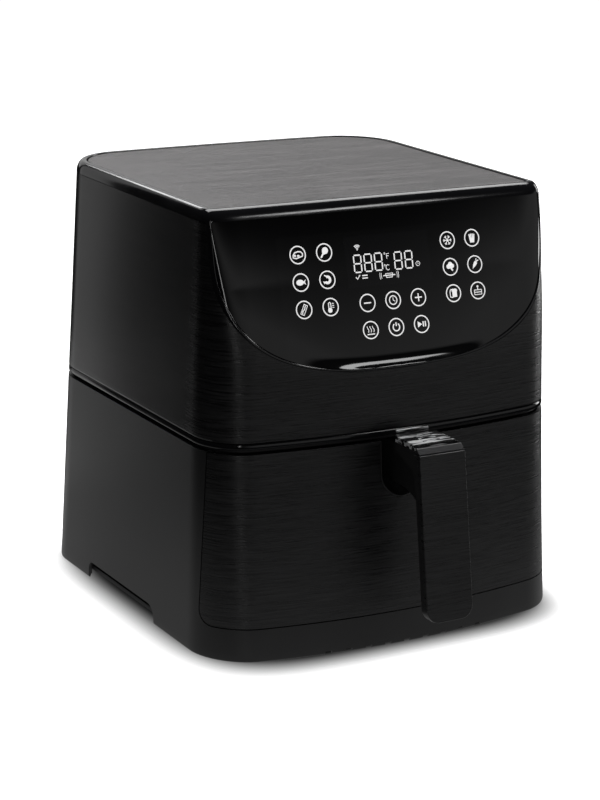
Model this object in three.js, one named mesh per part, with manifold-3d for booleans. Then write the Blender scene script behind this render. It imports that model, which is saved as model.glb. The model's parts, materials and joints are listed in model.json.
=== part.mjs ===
// Basket air fryer: tapered housing, slanted touch panel, and a pull-out drawer with a basket and handle.
// Millimetres, +Z up, front of the fryer towards -Y. The model is built about the housing's own centre
// line and moved at the end, so that the origin is under the middle of the whole object.
import * as THREE from 'three';
import { mergeVertices } from 'three/addons/utils/BufferGeometryUtils.js';
import Module from 'manifold-3d';

const wasm = await Module();
wasm.setup();

// ---- driving dimensions ----
const HEIGHT = 322;
const BASE_HALF_WIDTH = 150.5;
const TOP_HALF_WIDTH = 140.5;
const BASE_FRONT = 155;          // front centre line, distance ahead of the housing's centre
const TOP_FRONT = 128;
const FRONT_HOLLOW = 3;          // how far the front's profile is hollow at mid height
const BASE_BACK = 155;
const TOP_BACK = 153;
const BASE_FRONT_BULGE = 20.5;   // how far the front bows out between its corners
const TOP_FRONT_BULGE = 7;
const BACK_BULGE = 3.3;
const BASE_FRONT_CORNER = 35.5;
const TOP_FRONT_CORNER = 26;
const BASE_BACK_CORNER = 32.5;
const TOP_BACK_CORNER = 46.5;
const HANDLE_FRONT = 211;        // foremost point of the handle, ahead of the housing's centre
const GLAND_BACK = 157;          // rearmost point, the cord gland's face
const ORIGIN_SHIFT = (HANDLE_FRONT - GLAND_BACK) / 2;

const WALL = 3;
const GAP = 0.4;                 // clearance between pieces that touch
const SKIRT_BOTTOM = 1.5;
const DRAWER_BOTTOM = 26.2;
const SEAM = 0.8;
const SEAM_Y = -108.5;           // where the housing's sides stop and the drawer front begins
const WAIST = 152.5;             // top edge of the lower housing and of the drawer front
const BAND_BOTTOM = 155.5;
const BAND_TOP = 160;
const RIM_BOTTOM = 313.5;

const PANEL_Y = -127.24;         // the panel's plane at PANEL_Z
const PANEL_Z = 230;
const PANEL_SLOPE = 0.2943;      // run back per rise
const PANEL_TILT = Math.atan(PANEL_SLOPE);
const GLASS = 2.6;
const PANEL_OPENING = { half: 140.5, bottom: -26.6, bend: 73, power: 2.8, bezel: 4.6, lip: 6 };

const CHAMBER = { half: 124, front: -103, back: 118, bottom: 26.5, top: 206, sheet: 1.2, corner: 34 };
const DRAWER_MOUTH_TOP = 152.5;
const PAN = { half: 117, front: -105.6, back: 110, bottom: 30, top: 146, wall: 1.5, corner: 34 };
const BASKET = { half: 110.5, front: -99, back: 104, bottom: 44, top: 143, wall: 1.2, corner: 30 };
const FAN_Y = 8;                 // the fan and motor stand over the middle of the basket
const SHAFT_RADIUS = 4;
const PROBE = { x: 60, y: 60 };  // the temperature probe in the chamber's roof
const SWITCH = { x: 96, z: 120 };
const GLAND = { x: 62, z: 42, radius: 9.2, bore: 3.9 };
const DRAWER_SCREW = { spread: 70, z: 96 };
const BUTTON_Y = -177;
const FEET = [['foot_front_left', -112, -102], ['foot_front_right', 112, -102],
  ['foot_back_left', -112, 112], ['foot_back_right', 112, 112]];
const SCREWS = [[-88, -80], [88, -80], [-88, 96], [88, 96]];

const RECESS_RADIUS = 18.5;
const RECESS_CENTRE_Z = 128;
const RECESS_FLOOR = -118;
const HANDLE = { top: [-192, 158], tilt: Math.atan2(19, 122), width: 38, length: 123, bar: 4, shell: 4.4 };
const NECK_HALF = 7.5;
const GUARD = { half: 17, rear: -157, front: -185.5, bottom: 158.6, sheet: 1.8, ridge: 6.5 };

// ---- materials ----
const finish = (color, roughness, metalness = 0) => new THREE.MeshStandardMaterial({ color, roughness, metalness });
const LOOKS = {
  brushed: finish(0x1b1b1c, 0.42, 0.35),
  satin: finish(0x18181a, 0.5),
  gloss: finish(0x0a0a0b, 0.12),
  dark: finish(0x111112, 0.7),
  plate: finish(0x2f2f31, 0.4, 0.4),
  glass: finish(0x060607, 0.06),
  clear: new THREE.MeshStandardMaterial({ color: 0xe8ecee, roughness: 0.08, transparent: true, opacity: 0.4 }),
  coated: finish(0x202022, 0.45, 0.3),
  steel: finish(0xb4b6b8, 0.35, 0.9),
  coil: finish(0x5b5650, 0.4, 0.8),
  rubber: finish(0x141414, 0.85),
  board: finish(0x1d4a2c, 0.6),
  motor: finish(0x8d8f91, 0.45, 0.8),
  grey: finish(0x77787a, 0.35),
  red: finish(0x7c1e1a, 0.5),
};

// ---- solids from three.js geometry ----
function solid(geometry) {
  const bare = geometry.clone();
  for (const name of Object.keys(bare.attributes)) {
    if (name !== 'position') bare.deleteAttribute(name);
  }
  const merged = mergeVertices(bare, 1e-4);
  return new wasm.Manifold(new wasm.Mesh({
    numProp: 3,
    vertProperties: merged.attributes.position.array,
    triVerts: new Uint32Array(merged.index.array),
  }));
}

function geometryOf(body) {
  const mesh = body.getMesh();
  const geometry = new THREE.BufferGeometry();
  geometry.setAttribute('position', new THREE.BufferAttribute(mesh.vertProperties, 3));
  geometry.setIndex(new THREE.BufferAttribute(mesh.triVerts, 1));
  geometry.computeVertexNormals();
  return geometry;
}

const cut = (body, ...tools) => tools.reduce((left, tool) => left.subtract(tool), body);
const join = (first, ...others) => others.reduce((sum, other) => sum.add(other), first);

function block(x0, x1, y0, y1, z0, z1) {
  const box = new THREE.BoxGeometry(x1 - x0, y1 - y0, z1 - z0);
  return solid(box.translate((x0 + x1) / 2, (y0 + y1) / 2, (z0 + z1) / 2));
}

// A straight round rod standing along Z.
function post(radius, z0, z1, x = 0, y = 0, segments = 24) {
  const rod = new THREE.CylinderGeometry(radius, radius, z1 - z0, segments);
  return solid(rod.rotateX(Math.PI / 2).translate(x, y, (z0 + z1) / 2));
}

// A straight round rod lying along Y.
function pin(radius, y0, y1, x, z, segments = 16) {
  const rod = new THREE.CylinderGeometry(radius, radius, y1 - y0, segments);
  return solid(rod.translate(x, (y0 + y1) / 2, z));
}

// A shape drawn in X and Y, standing from z0 to z1.
function prism(shape, z0, z1, curveSegments = 8) {
  return solid(new THREE.ExtrudeGeometry(shape, { depth: z1 - z0, bevelEnabled: false, curveSegments })
    .translate(0, 0, z0));
}

// A side view drawn as (y, z), running along X from x0 to x1.
function sideView(shape, x0, x1, curveSegments = 8) {
  const along = new THREE.Matrix4().set(0, 0, 1, x0, 1, 0, 0, 0, 0, 1, 0, 0, 0, 0, 0, 1);
  return solid(new THREE.ExtrudeGeometry(shape, { depth: x1 - x0, bevelEnabled: false, curveSegments })
    .applyMatrix4(along));
}

// A front view drawn as (x, z), running along Y from y0 back to y1.
function frontView(shape, y0, y1, curveSegments = 8) {
  return solid(new THREE.ExtrudeGeometry(shape, { depth: y1 - y0, bevelEnabled: false, curveSegments })
    .rotateX(Math.PI / 2).translate(0, y1, 0));
}

function roundedRectangle(x0, x1, y0, y1, radii) {
  const [a, b, c, d] = radii.map((r) => Math.max(r, 0.01));
  const shape = new THREE.Shape();
  shape.moveTo(x0 + a, y0);
  shape.lineTo(x1 - b, y0);
  shape.absarc(x1 - b, y0 + b, b, -Math.PI / 2, 0);
  shape.lineTo(x1, y1 - c);
  shape.absarc(x1 - c, y1 - c, c, 0, Math.PI / 2);
  shape.lineTo(x0 + d, y1);
  shape.absarc(x0 + d, y1 - d, d, Math.PI / 2, Math.PI);
  shape.lineTo(x0, y0 + a);
  shape.absarc(x0 + a, y0 + a, a, Math.PI, 1.5 * Math.PI);
  return shape;
}

function polygon(points) {
  return new THREE.Shape(points.map(([a, b]) => new THREE.Vector2(a, b)));
}

function circle(radius, x = 0, y = 0) {
  const shape = new THREE.Shape();
  shape.absarc(x, y, radius, 0, 2 * Math.PI);
  return shape;
}

// ---- the housing's outside form ----
const mix = THREE.MathUtils.lerp;

function sectionAt(z) {
  const u = z / HEIGHT;
  return {
    half: mix(BASE_HALF_WIDTH, TOP_HALF_WIDTH, u),
    front: mix(BASE_FRONT, TOP_FRONT, u) - FRONT_HOLLOW * 4 * u * (1 - u),
    back: mix(BASE_BACK, TOP_BACK, u),
    bulge: mix(BASE_FRONT_BULGE, TOP_FRONT_BULGE, u),
    frontCorner: mix(BASE_FRONT_CORNER, TOP_FRONT_CORNER, u),
    backCorner: mix(BASE_BACK_CORNER, TOP_BACK_CORNER, u),
  };
}

const FRONT_STEPS = 4;
const CORNER_STEPS = 6;
const BACK_STEPS = 2;

// The outline at one height, counter-clockwise from the front centre, pulled in by inset all round.
function outline(z, inset = 0) {
  const s = sectionAt(z);
  const half = s.half - inset;
  const front = s.front - s.bulge - inset;
  const back = s.back - BACK_BULGE - inset;
  const rf = Math.max(s.frontCorner - inset, 2);
  const rb = Math.max(s.backCorner - inset, 2);
  const right = [];
  for (let i = 1; i < FRONT_STEPS; i++) right.push([(half - rf) * i / FRONT_STEPS, -front]);
  for (let i = 0; i <= CORNER_STEPS; i++) {
    const angle = -Math.PI / 2 + (Math.PI / 2) * i / CORNER_STEPS;
    right.push([half - rf + rf * Math.cos(angle), -front + rf + rf * Math.sin(angle)]);
  }
  for (let i = 0; i <= CORNER_STEPS; i++) {
    const angle = (Math.PI / 2) * i / CORNER_STEPS;
    right.push([half - rb + rb * Math.cos(angle), back - rb + rb * Math.sin(angle)]);
  }
  for (let i = BACK_STEPS - 1; i > 0; i--) right.push([(half - rb) * i / BACK_STEPS, back]);
  const left = right.map(([x, y]) => [-x, y]).reverse();
  return [[0, -front], ...right, [0, back], ...left].map(([x, y]) => {
    const bow = 1 - (x / half) ** 2;
    const push = y < 0 ? s.bulge * bow * (y / front) : BACK_BULGE * bow * (y / back);
    return new THREE.Vector2(x, y + push);
  });
}

const panelY = (z) => PANEL_Y + PANEL_SLOPE * (z - PANEL_Z);

// The outline where the slanted panel plane has cut the front away.
function clippedOutline(z, inset, frontInset) {
  return outline(z, inset).map((p) => new THREE.Vector2(p.x, Math.max(p.y, panelY(z) + frontInset)));
}

// A closed skin through a stack of outlines that have the same number of points.
function loft(rings) {
  const count = rings[0].points.length;
  const position = [];
  for (const ring of rings) {
    for (const p of ring.points) position.push(p.x, p.y, ring.z);
  }
  const index = [];
  for (let level = 0; level < rings.length - 1; level++) {
    for (let i = 0; i < count; i++) {
      const a = level * count + i;
      const b = level * count + (i + 1) % count;
      index.push(a, b, b + count, a, b + count, a + count);
    }
  }
  const top = (rings.length - 1) * count;
  for (const [i, j, k] of THREE.ShapeUtils.triangulateShape(rings[0].points, [])) index.push(i, k, j);
  for (const [i, j, k] of THREE.ShapeUtils.triangulateShape(rings.at(-1).points, [])) {
    index.push(top + i, top + j, top + k);
  }
  const geometry = new THREE.BufferGeometry();
  geometry.setAttribute('position', new THREE.Float32BufferAttribute(position, 3));
  geometry.setIndex(index);
  return solid(geometry);
}

// The housing's form between two heights, pulled in by inset.
function form(z0, z1, inset = 0, levels = 4) {
  const rings = [];
  for (let i = 0; i <= levels; i++) {
    const z = mix(z0, z1, i / levels);
    rings.push({ z, points: outline(z, inset) });
  }
  return loft(rings);
}

const formRings = (steps) => loft(steps.map(([z, inset]) => ({ z, points: outline(z, inset) })));

// The layer between two depths behind the panel's plane.
function panelSlab(depth0, depth1) {
  const reach = 420;
  return solid(new THREE.BoxGeometry(reach, depth1 - depth0, reach)
    .translate(0, (depth0 + depth1) / 2, 0).rotateX(-PANEL_TILT).translate(0, PANEL_Y, PANEL_Z));
}

// ---- scene graph ----
const root = new THREE.Group();
const fryer = new THREE.Group();
fryer.position.y = ORIGIN_SHIFT;
root.add(fryer);
const motor = new THREE.Group();
motor.position.y = FAN_Y;
const grip = new THREE.Group();
grip.position.set(0, HANDLE.top[0], HANDLE.top[1]);
grip.rotation.x = -HANDLE.tilt;
fryer.add(motor, grip);

function add(name, body, look, parent = fryer) {
  const mesh = new THREE.Mesh(geometryOf(body), look);
  mesh.name = name;
  parent.add(mesh);
}

// ---- outer casing ----
// Side view of the room that the drawer front fills, with a rounded lower corner.
function drawerRegion(backEdge, floor, cornerRadius) {
  const shape = new THREE.Shape();
  const front = -260;
  shape.moveTo(front, floor);
  shape.lineTo(backEdge - cornerRadius, floor);
  shape.absarc(backEdge - cornerRadius, floor + cornerRadius, cornerRadius, -Math.PI / 2, 0);
  shape.lineTo(backEdge, WAIST + 20);
  shape.lineTo(front, WAIST + 20);
  return sideView(shape, -170, 170, 6);
}

function lowerHousing() {
  const outside = formRings([[SKIRT_BOTTOM, 1.4], [SKIRT_BOTTOM + 2, 0], [55, 0], [105, 0], [WAIST, 0]]);
  const inside = form(-5, WAIST + 5, WALL, 3);
  let body = cut(outside, inside, drawerRegion(SEAM_Y, DRAWER_BOTTOM - SEAM, 12));
  for (const side of [-1, 1]) {
    const handHold = sideView(roundedRectangle(-41, 74, -10, 15, [0, 0, 6, 11]), 100, 170, 5);
    body = cut(body, side > 0 ? handHold : handHold.mirror([1, 0, 0]));
  }
  for (let x = -64; x <= 64; x += 16) {
    body = cut(body, block(x - 2.6, x + 2.6, -170, -120, 0, SKIRT_BOTTOM + 2.4));
  }
  return cut(body, pin(GLAND.radius + GAP, 140, 170, GLAND.x, GLAND.z, 16));
}
add('lower_housing', lowerHousing(), LOOKS.satin);

// The recessed collar that joins the two housings and makes the dark groove at the waist.
const collarOutside = form(WAIST + GAP, BAND_BOTTOM - GAP, 3.4, 1);
add('waist_collar', cut(collarOutside, form(WAIST - 5, BAND_BOTTOM + 5, 10, 1)), LOOKS.dark);

const bandOutside = formRings([[BAND_BOTTOM, 0.9], [BAND_BOTTOM + 1.3, 0], [BAND_TOP - 1.2, 0], [BAND_TOP - 0.2, 0.6]]);
add('waist_band', cut(bandOutside, form(BAND_BOTTOM - 5, BAND_TOP + 5, 7, 1)), LOOKS.gloss);

// A lens-shaped opening in the panel's plane: straight sides above the bend, one round sweep below it.
function panelShape(inset, lip, top) {
  const p = PANEL_OPENING;
  const half = p.half - inset;
  const depth = p.bend - p.bottom - lip;
  const sweep = [];
  const steps = 24;
  for (let i = 0; i <= steps; i++) {
    const angle = Math.PI * i / steps;
    const x = Math.sign(-Math.cos(angle)) * Math.abs(Math.cos(angle)) ** (2 / p.power) * half;
    sweep.push(new THREE.Vector2(x, p.bend - depth * Math.sin(angle) ** (2 / p.power)));
  }
  return new THREE.Shape([...sweep, new THREE.Vector2(half, top), new THREE.Vector2(-half, top)]);
}

// A solid drawn in the panel's plane, between two depths behind it.
function panelPrism(shape, depth0, depth1) {
  return solid(new THREE.ExtrudeGeometry(shape, { depth: depth1 - depth0, bevelEnabled: false })
    .rotateX(Math.PI / 2).translate(0, depth1, 0).rotateX(-PANEL_TILT).translate(0, PANEL_Y, PANEL_Z));
}

const pocket = GLASS + 1.8;
const upperOutside = form(BAND_TOP + 0.2, RIM_BOTTOM - GAP, 0, 5);
const upperInside = form(BAND_TOP - 5, RIM_BOTTOM + 5, WALL, 3);
const housingBackWall = panelSlab(pocket, pocket + WALL).intersect(form(BAND_TOP + 2, RIM_BOTTOM - GAP, 1.5, 3));
const grilleHole = frontView(roundedRectangle(-48, 48, 206, 262, [6, 6, 6, 6]), 130, 170, 3);
const displayWindow = frontView(roundedRectangle(-90, 90, 216, 300, [4, 4, 4, 4]), -150, -60, 2);
const panelPocket = panelPrism(panelShape(-0.4, -0.4, 120), -160, pocket);
const upperShell = cut(upperOutside, upperInside).add(housingBackWall);
add('upper_housing', cut(upperShell, panelPocket, grilleHole, displayWindow), LOOKS.brushed);

const { bezel: bezelWidth, lip: lipWidth } = PANEL_OPENING;
const bezelForm = form(BAND_TOP + 2, RIM_BOTTOM - GAP, 0.2, 5).intersect(panelPrism(panelShape(0, 0, 120), -0.8, pocket - GAP));
add('panel_bezel', cut(bezelForm, panelPrism(panelShape(bezelWidth, lipWidth, 120), -9, 9)), LOOKS.gloss);
const glassShape = panelShape(bezelWidth + 0.5, lipWidth + 0.5, 86.4);
add('control_panel', panelPrism(glassShape, 0.3, 0.3 + GLASS), LOOKS.glass);

const rimRings = [[RIM_BOTTOM, 0, 0.2], [317.5, 0.3, 0.2], [319.8, 1.1, 0.8], [321.3, 2.6, 1.9], [HEIGHT, 4.8, 3.4]];
const rimOutside = loft(rimRings.map(([z, inset, frontInset]) => ({ z, points: clippedOutline(z, inset, frontInset) })));
const rimPocket = loft([318.4, 325].map((z) => ({ z, points: clippedOutline(z, 7.4, 4.2) })));
const rimBore = loft([310, 325].map((z) => ({ z, points: clippedOutline(z, 14, 12) })));
add('top_rim', cut(rimOutside, rimPocket, rimBore), LOOKS.gloss);
const plateRings = [[318.8, 8.2, 5], [320.9, 8.2, 5], [321.5, 9, 5.8]];
const plate = loft(plateRings.map(([z, inset, frontInset]) => ({ z, points: clippedOutline(z, inset, frontInset) })));
add('top_plate', plate, LOOKS.plate);

// ---- electronics behind the panel ----
function onPanel(body) {
  return solid(geometryOf(body).rotateX(-PANEL_TILT).translate(0, PANEL_Y, PANEL_Z));
}
const displayFrame = block(-35, 35, GLASS + 0.8, GLASS + 9, 18, 58);
add('display_module', onPanel(displayFrame), LOOKS.dark);
const touchBoard = cut(block(-86, 86, GLASS + 9.8, GLASS + 11.4, -10, 68), block(-6, 6, 0, 20, -4, 8));
add('touch_board', onPanel(touchBoard), LOOKS.board);

function powerBoard() {
  const base = block(58, 118, 24, 110, 224, 225.6);
  const parts = [block(66, 88, 30, 52, 225, 246), block(92, 112, 34, 60, 225, 242), post(7, 225, 250, 74, 72, 12),
    post(5, 225, 240, 94, 76, 12), block(66, 112, 92, 104, 225, 238)];
  return join(base, ...parts);
}
add('power_board', powerBoard(), LOOKS.board);

// ---- cooking chamber ----
function chamberOutline(inset) {
  const c = CHAMBER;
  return roundedRectangle(-c.half + inset, c.half - inset, c.front + inset, c.back - inset,
    [3 - inset, 3 - inset, c.corner - inset, c.corner - inset]);
}

function cookingChamber() {
  const c = CHAMBER;
  const outside = prism(chamberOutline(0), c.bottom, c.top, 5);
  const inside = prism(chamberOutline(c.sheet), c.bottom + c.sheet, c.top - c.sheet, 5);
  const mouth = block(-c.half + c.sheet, c.half - c.sheet, c.front - 5, c.front + 6, c.bottom + c.sheet, DRAWER_MOUTH_TOP);
  const shaftHole = post(9, c.top - 5, c.top + 5, 0, FAN_Y, 16);
  const outlet = block(-34, 34, c.back - 5, c.back + 5, 182, 202);
  const probeHole = post(3.4, c.top - 5, c.top + 5, PROBE.x, PROBE.y, 12);
  const plungerHole = pin(2.2, c.back - 5, c.back + 5, SWITCH.x, SWITCH.z, 12);
  const glands = [post(3.4, c.top - 5, c.top + 5, -16, 88, 12), post(3.4, c.top - 5, c.top + 5, 16, 88, 12)];
  return cut(outside, inside, mouth, shaftHole, outlet, probeHole, plungerHole, ...glands);
}
add('cooking_chamber', cookingChamber(), LOOKS.steel);

// Flange that closes the space between the chamber's mouth and the casing.
function bayFrame() {
  const region = block(-200, 200, SEAM_Y + 2.4, CHAMBER.front - GAP, DRAWER_BOTTOM - 0.2, WAIST - GAP);
  const mouth = block(-CHAMBER.half + 0.8, CHAMBER.half - 0.8, -130, -90, CHAMBER.bottom + 1, WAIST + 5);
  return cut(form(10, 160, WALL + GAP, 3).intersect(region), mouth);
}
const frameParts = bayFrame().decompose().sort((a, b) => b.volume() - a.volume());
const frameSill = block(-CHAMBER.half - 2, CHAMBER.half + 2, SEAM_Y + 2.4, CHAMBER.front - GAP, 22.5, CHAMBER.bottom + 1);
add('bay_frame', join(frameSill, ...frameParts), LOOKS.dark);

for (const side of [-1, 1]) {
  const x0 = PAN.half + 1.2;
  const rail = cut(block(x0, CHAMBER.half - CHAMBER.sheet - GAP, -98, 78, 134, 142.6),
    block(x0 - 1, x0 + 2.6, -120, 90, 130, 140.4));
  add(side < 0 ? 'left_rail' : 'right_rail', side < 0 ? rail.mirror([1, 0, 0]) : rail, LOOKS.steel);
}

// ---- heater, fans and motor ----
class Spiral extends THREE.Curve {
  getPoint(t, target = new THREE.Vector3()) {
    const turns = 2.25;
    const angle = -Math.PI / 2 + t * turns * 2 * Math.PI;
    const radius = mix(44, 84, t);
    return target.set(radius * Math.cos(angle), FAN_Y + radius * Math.sin(angle), 172);
  }
}
const tube = new THREE.ExtrudeGeometry(circle(3.4), { steps: 50, extrudePath: new Spiral(), curveSegments: 4 });
add('heating_element', solid(tube), LOOKS.coil);

function heatReflector() {
  const profile = [[14, 197.4], [14, 196], [92, 196], [104, 184], [105.2, 184.6], [92.6, 197.4], [14, 197.4]];
  const dish = new THREE.LatheGeometry(profile.map(([radius, z]) => new THREE.Vector2(radius, z)), 24);
  return cut(solid(dish.rotateX(Math.PI / 2).translate(0, FAN_Y, 0)), post(6, 180, 200, PROBE.x, PROBE.y, 12));
}
add('heat_reflector', heatReflector(), LOOKS.steel);

function fanWheel(z0, z1, hub, radius, blades, thickness, pitch) {
  let wheel = post(hub, z0, z1, 0, 0, 16);
  wheel = wheel.add(post(radius, z1 - 1.2, z1, 0, 0, 24));
  for (let i = 0; i < blades; i++) {
    const blade = solid(new THREE.BoxGeometry(radius - hub, thickness, z1 - z0)
      .rotateZ(pitch).translate((radius + hub) / 2 - 1, 0, (z0 + z1) / 2).rotateZ(i * 2 * Math.PI / blades));
    wheel = wheel.add(blade);
  }
  return wheel.intersect(post(radius, z0 - 1, z1 + 1, 0, 0, 24)).subtract(post(SHAFT_RADIUS + GAP, z0 - 5, z1 + 5));
}
add('hot_air_fan', fanWheel(181, 193.5, 12, 74, 8, 1.4, 0.25), LOOKS.steel, motor);
add('cooling_fan', fanWheel(213, 225, 11, 52, 8, 1.4, 0.3), LOOKS.dark, motor);
add('motor_shaft', post(SHAFT_RADIUS, 170.5, 232, 0, 0, 16).add(post(2.6, 231, 286, 0, 0, 16)), LOOKS.steel, motor);
const nut = new THREE.CylinderGeometry(8, 8, 6, 6).rotateX(Math.PI / 2).translate(0, 0, 177);
add('fan_nut', cut(solid(nut), post(SHAFT_RADIUS + GAP, 160, 190, 0, 0, 16)), LOOKS.steel, motor);

const stator = join(post(29, 240, 272, 0, 0, 24), block(-34, 34, -22, 22, 244, 268));
add('motor_body', cut(stator, post(5, 230, 280, 0, 0, 16)), LOOKS.motor, motor);
function motorBracket() {
  const bridge = join(block(-96, 96, -13, 13, 234, 236), post(30, 234, 236, 0, 0, 24));
  const legs = [-1, 1].map((side) => {
    const x = side * 95;
    return join(block(x - 1, x + 1, -13, 13, 208.4, 236), block(x - (side > 0 ? 1 : 13), x + (side > 0 ? 13 : 1), -13, 13, 206.4, 208.4));
  });
  const spacers = [-24, 24].map((x) => post(3, 235, 239.6, x, 0, 10));
  return cut(join(bridge, ...legs, ...spacers), post(10, 230, 240, 0, 0, 16));
}
add('motor_bracket', motorBracket(), LOOKS.steel, motor);

const probe = join(post(2.2, 176, 214, PROBE.x, PROBE.y, 12), post(4.6, 206.5, 210, PROBE.x, PROBE.y, 12));
add('temperature_probe', probe, LOOKS.steel);
const fuse = join(block(-74, -54, 52, 64, 206.5, 208.3), block(-70, -58, 55, 61, 208, 214));
add('thermal_fuse', fuse, LOOKS.red);

// ---- back of the housing ----
function rearGrille() {
  const plateShape = roundedRectangle(-47.4, 47.4, 206.6, 261.4, [5.5, 5.5, 5.5, 5.5]);
  let body = frontView(plateShape, 130, 170, 4).intersect(cut(form(190, 280, 0.4, 2), form(185, 285, 3.4, 2)));
  for (let i = 0; i < 7; i++) {
    const z = 213.2 + i * 6.9;
    for (const x of [-22, 22]) body = cut(body, block(x - 19.5, x + 19.5, 120, 170, z, z + 3.6));
  }
  return body;
}
add('rear_grille', rearGrille(), LOOKS.dark);

function cordGland() {
  const { x, z, radius, bore } = GLAND;
  const body = join(pin(radius, 146.5, GLAND_BACK, x, z, 20), pin(radius + 3.3, 145, 148.6, x, z, 20));
  return cut(body, pin(bore, 140, 162, x, z, 16));
}
add('cord_gland', cordGland(), LOOKS.rubber);

function doorSwitch() {
  const body = block(86, 106, 121.4, 131, 112, 128);
  return cut(body, pin(2.3, 115, 127, SWITCH.x, SWITCH.z, 12));
}
add('door_switch', doorSwitch(), LOOKS.dark);
add('switch_plunger', pin(1.7, 108.2, 123.6, SWITCH.x, SWITCH.z, 12), LOOKS.red);

// ---- base ----
function basePlate() {
  const body = form(7.5, 10.5, WALL + GAP, 1);
  const well = form(10, 21, WALL + 14, 1).subtract(form(9, 30, WALL + 16.5, 1));
  const slots = [];
  for (let i = -3; i <= 3; i++) slots.push(block(-40, 40, i * 14 - 3, i * 14 + 3, 0, 20));
  const screwHoles = SCREWS.map(([x, y]) => post(2.4, 0, 20, x, y, 8));
  const footHoles = FEET.map(([, x, y]) => post(5.6, 0, 20, x, y, 12));
  return cut(join(body, well), ...slots, ...screwHoles, ...footHoles);
}
add('base_plate', basePlate(), LOOKS.dark);
for (const [name, x, y] of FEET) {
  const foot = join(post(11, 0.8, 7, x, y, 14), post(9.6, 0, 2, x, y, 14), post(5, 6, 12.5, x, y, 10));
  add(name, foot, LOOKS.rubber);
}
SCREWS.forEach(([x, y], i) => {
  add('base_screw_' + (i + 1), join(post(4.2, 4.9, 7.1, x, y, 12), post(2, 6, 19, x, y, 8)), LOOKS.steel);
});

// ---- drawer ----
function recessOutline(radius) {
  const shape = new THREE.Shape();
  shape.moveTo(-radius, WAIST + 10);
  shape.lineTo(-radius, RECESS_CENTRE_Z);
  shape.absarc(0, RECESS_CENTRE_Z, radius, Math.PI, 2 * Math.PI);
  shape.lineTo(radius, WAIST + 10);
  return shape;
}
const recess = (radius, y0, y1) => frontView(recessOutline(radius), y0, y1, 14);

function drawerFront() {
  const outside = form(DRAWER_BOTTOM, WAIST - 0.4, 0, 6).intersect(drawerRegion(SEAM_Y - SEAM, DRAWER_BOTTOM, 11.2));
  const inside = form(DRAWER_BOTTOM - 5, WAIST + 5, WALL, 6)
    .intersect(drawerRegion(SEAM_Y + 20, DRAWER_BOTTOM + 2.5, 1)).intersect(block(-200, 200, -200, 0, 0, WAIST - 3));
  return cut(outside, inside, recess(RECESS_RADIUS + GAP, -200, -100));
}
add('drawer_front', drawerFront(), LOOKS.brushed);

const screwSides = [-DRAWER_SCREW.spread, DRAWER_SCREW.spread];

function drawerBacking() {
  const layer = block(-200, 200, SEAM_Y - 0.4, SEAM_Y + 2, DRAWER_BOTTOM + 0.8, WAIST - 0.8);
  const body = form(10, 170, 6.5, 3).intersect(layer);
  const screwHoles = screwSides.map((x) => pin(2.4, -120, -100, x, DRAWER_SCREW.z, 12));
  return cut(body, ...screwHoles, block(-NECK_HALF - 1, NECK_HALF + 1, -120, -95, 118, 160));
}
add('drawer_backing', drawerBacking(), LOOKS.dark);

function recessCup() {
  const within = form(90, WAIST - 0.4, -0.7, 4);
  const cup = cut(recess(RECESS_RADIUS, -150, RECESS_FLOOR), recess(RECESS_RADIUS - 2, -160, RECESS_FLOOR - 2));
  const neckHole = block(-NECK_HALF - 0.6, NECK_HALF + 0.6, -130, -100, 118.4, 170);
  return cut(cup.intersect(within), neckHole);
}
add('recess_cup', recessCup(), LOOKS.satin);

function rounded(box, inset = 0) {
  return roundedRectangle(-box.half + inset, box.half - inset, box.front + inset, box.back - inset,
    Array(4).fill(box.corner - inset));
}

function outerBasket() {
  const p = PAN;
  const outside = join(prism(rounded(p, 3), p.bottom, p.bottom + 3, 5), prism(rounded(p), p.bottom + 3, p.top, 5));
  const flange = prism(rounded(p, -4), p.top - 2, p.top, 5).intersect(block(-200, 200, p.front, 200, 0, 200));
  const inside = join(prism(rounded(p, 3 + p.wall), p.bottom + p.wall, p.bottom + 5, 5),
    prism(rounded(p, p.wall + 0.4), p.bottom + 3 + p.wall, p.top + 5, 5));
  const neckHole = block(-NECK_HALF - 1, NECK_HALF + 1, -120, -95, 118, 160);
  const screwHoles = screwSides.map((x) => pin(2.4, -120, -95, x, DRAWER_SCREW.z, 12));
  return cut(join(outside, flange), inside, neckHole, ...screwHoles);
}
add('outer_basket', outerBasket(), LOOKS.coated);
for (const x of screwSides) {
  const screw = join(pin(2, -111.5, -103, x, DRAWER_SCREW.z, 8), pin(4.2, -103.4, -101.4, x, DRAWER_SCREW.z, 12));
  add('drawer_screw_' + (x < 0 ? 'left' : 'right'), screw, LOOKS.steel);
}

function innerBasket() {
  const b = BASKET;
  const outside = join(prism(rounded(b, 2.5), b.bottom, b.bottom + 2.5, 5), prism(rounded(b), b.bottom + 2.5, b.top, 5));
  const lip = prism(rounded(b, -1.8), b.top - 1.4, b.top, 5);
  const inside = join(prism(rounded(b, 2.5 + b.wall), b.bottom + b.wall, b.bottom + 5, 5),
    prism(rounded(b, b.wall + 0.3), b.bottom + 2.5 + b.wall, b.top + 5, 5));
  const hole = (x, y) => post(5, b.bottom - 5, b.bottom + 10, x, y, 6);
  const holes = [];
  for (let i = -3; i <= 3; i++) {
    for (let j = -3; j <= 3; j++) holes.push(hole(i * 26, j * 26 + 2));
  }
  return cut(join(outside, lip), inside, ...holes, ...[-5.2, 5.2].map((x) => pin(1.9, -110, -90, x, 136, 10)));
}
add('inner_basket', innerBasket(), LOOKS.coated);

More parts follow.
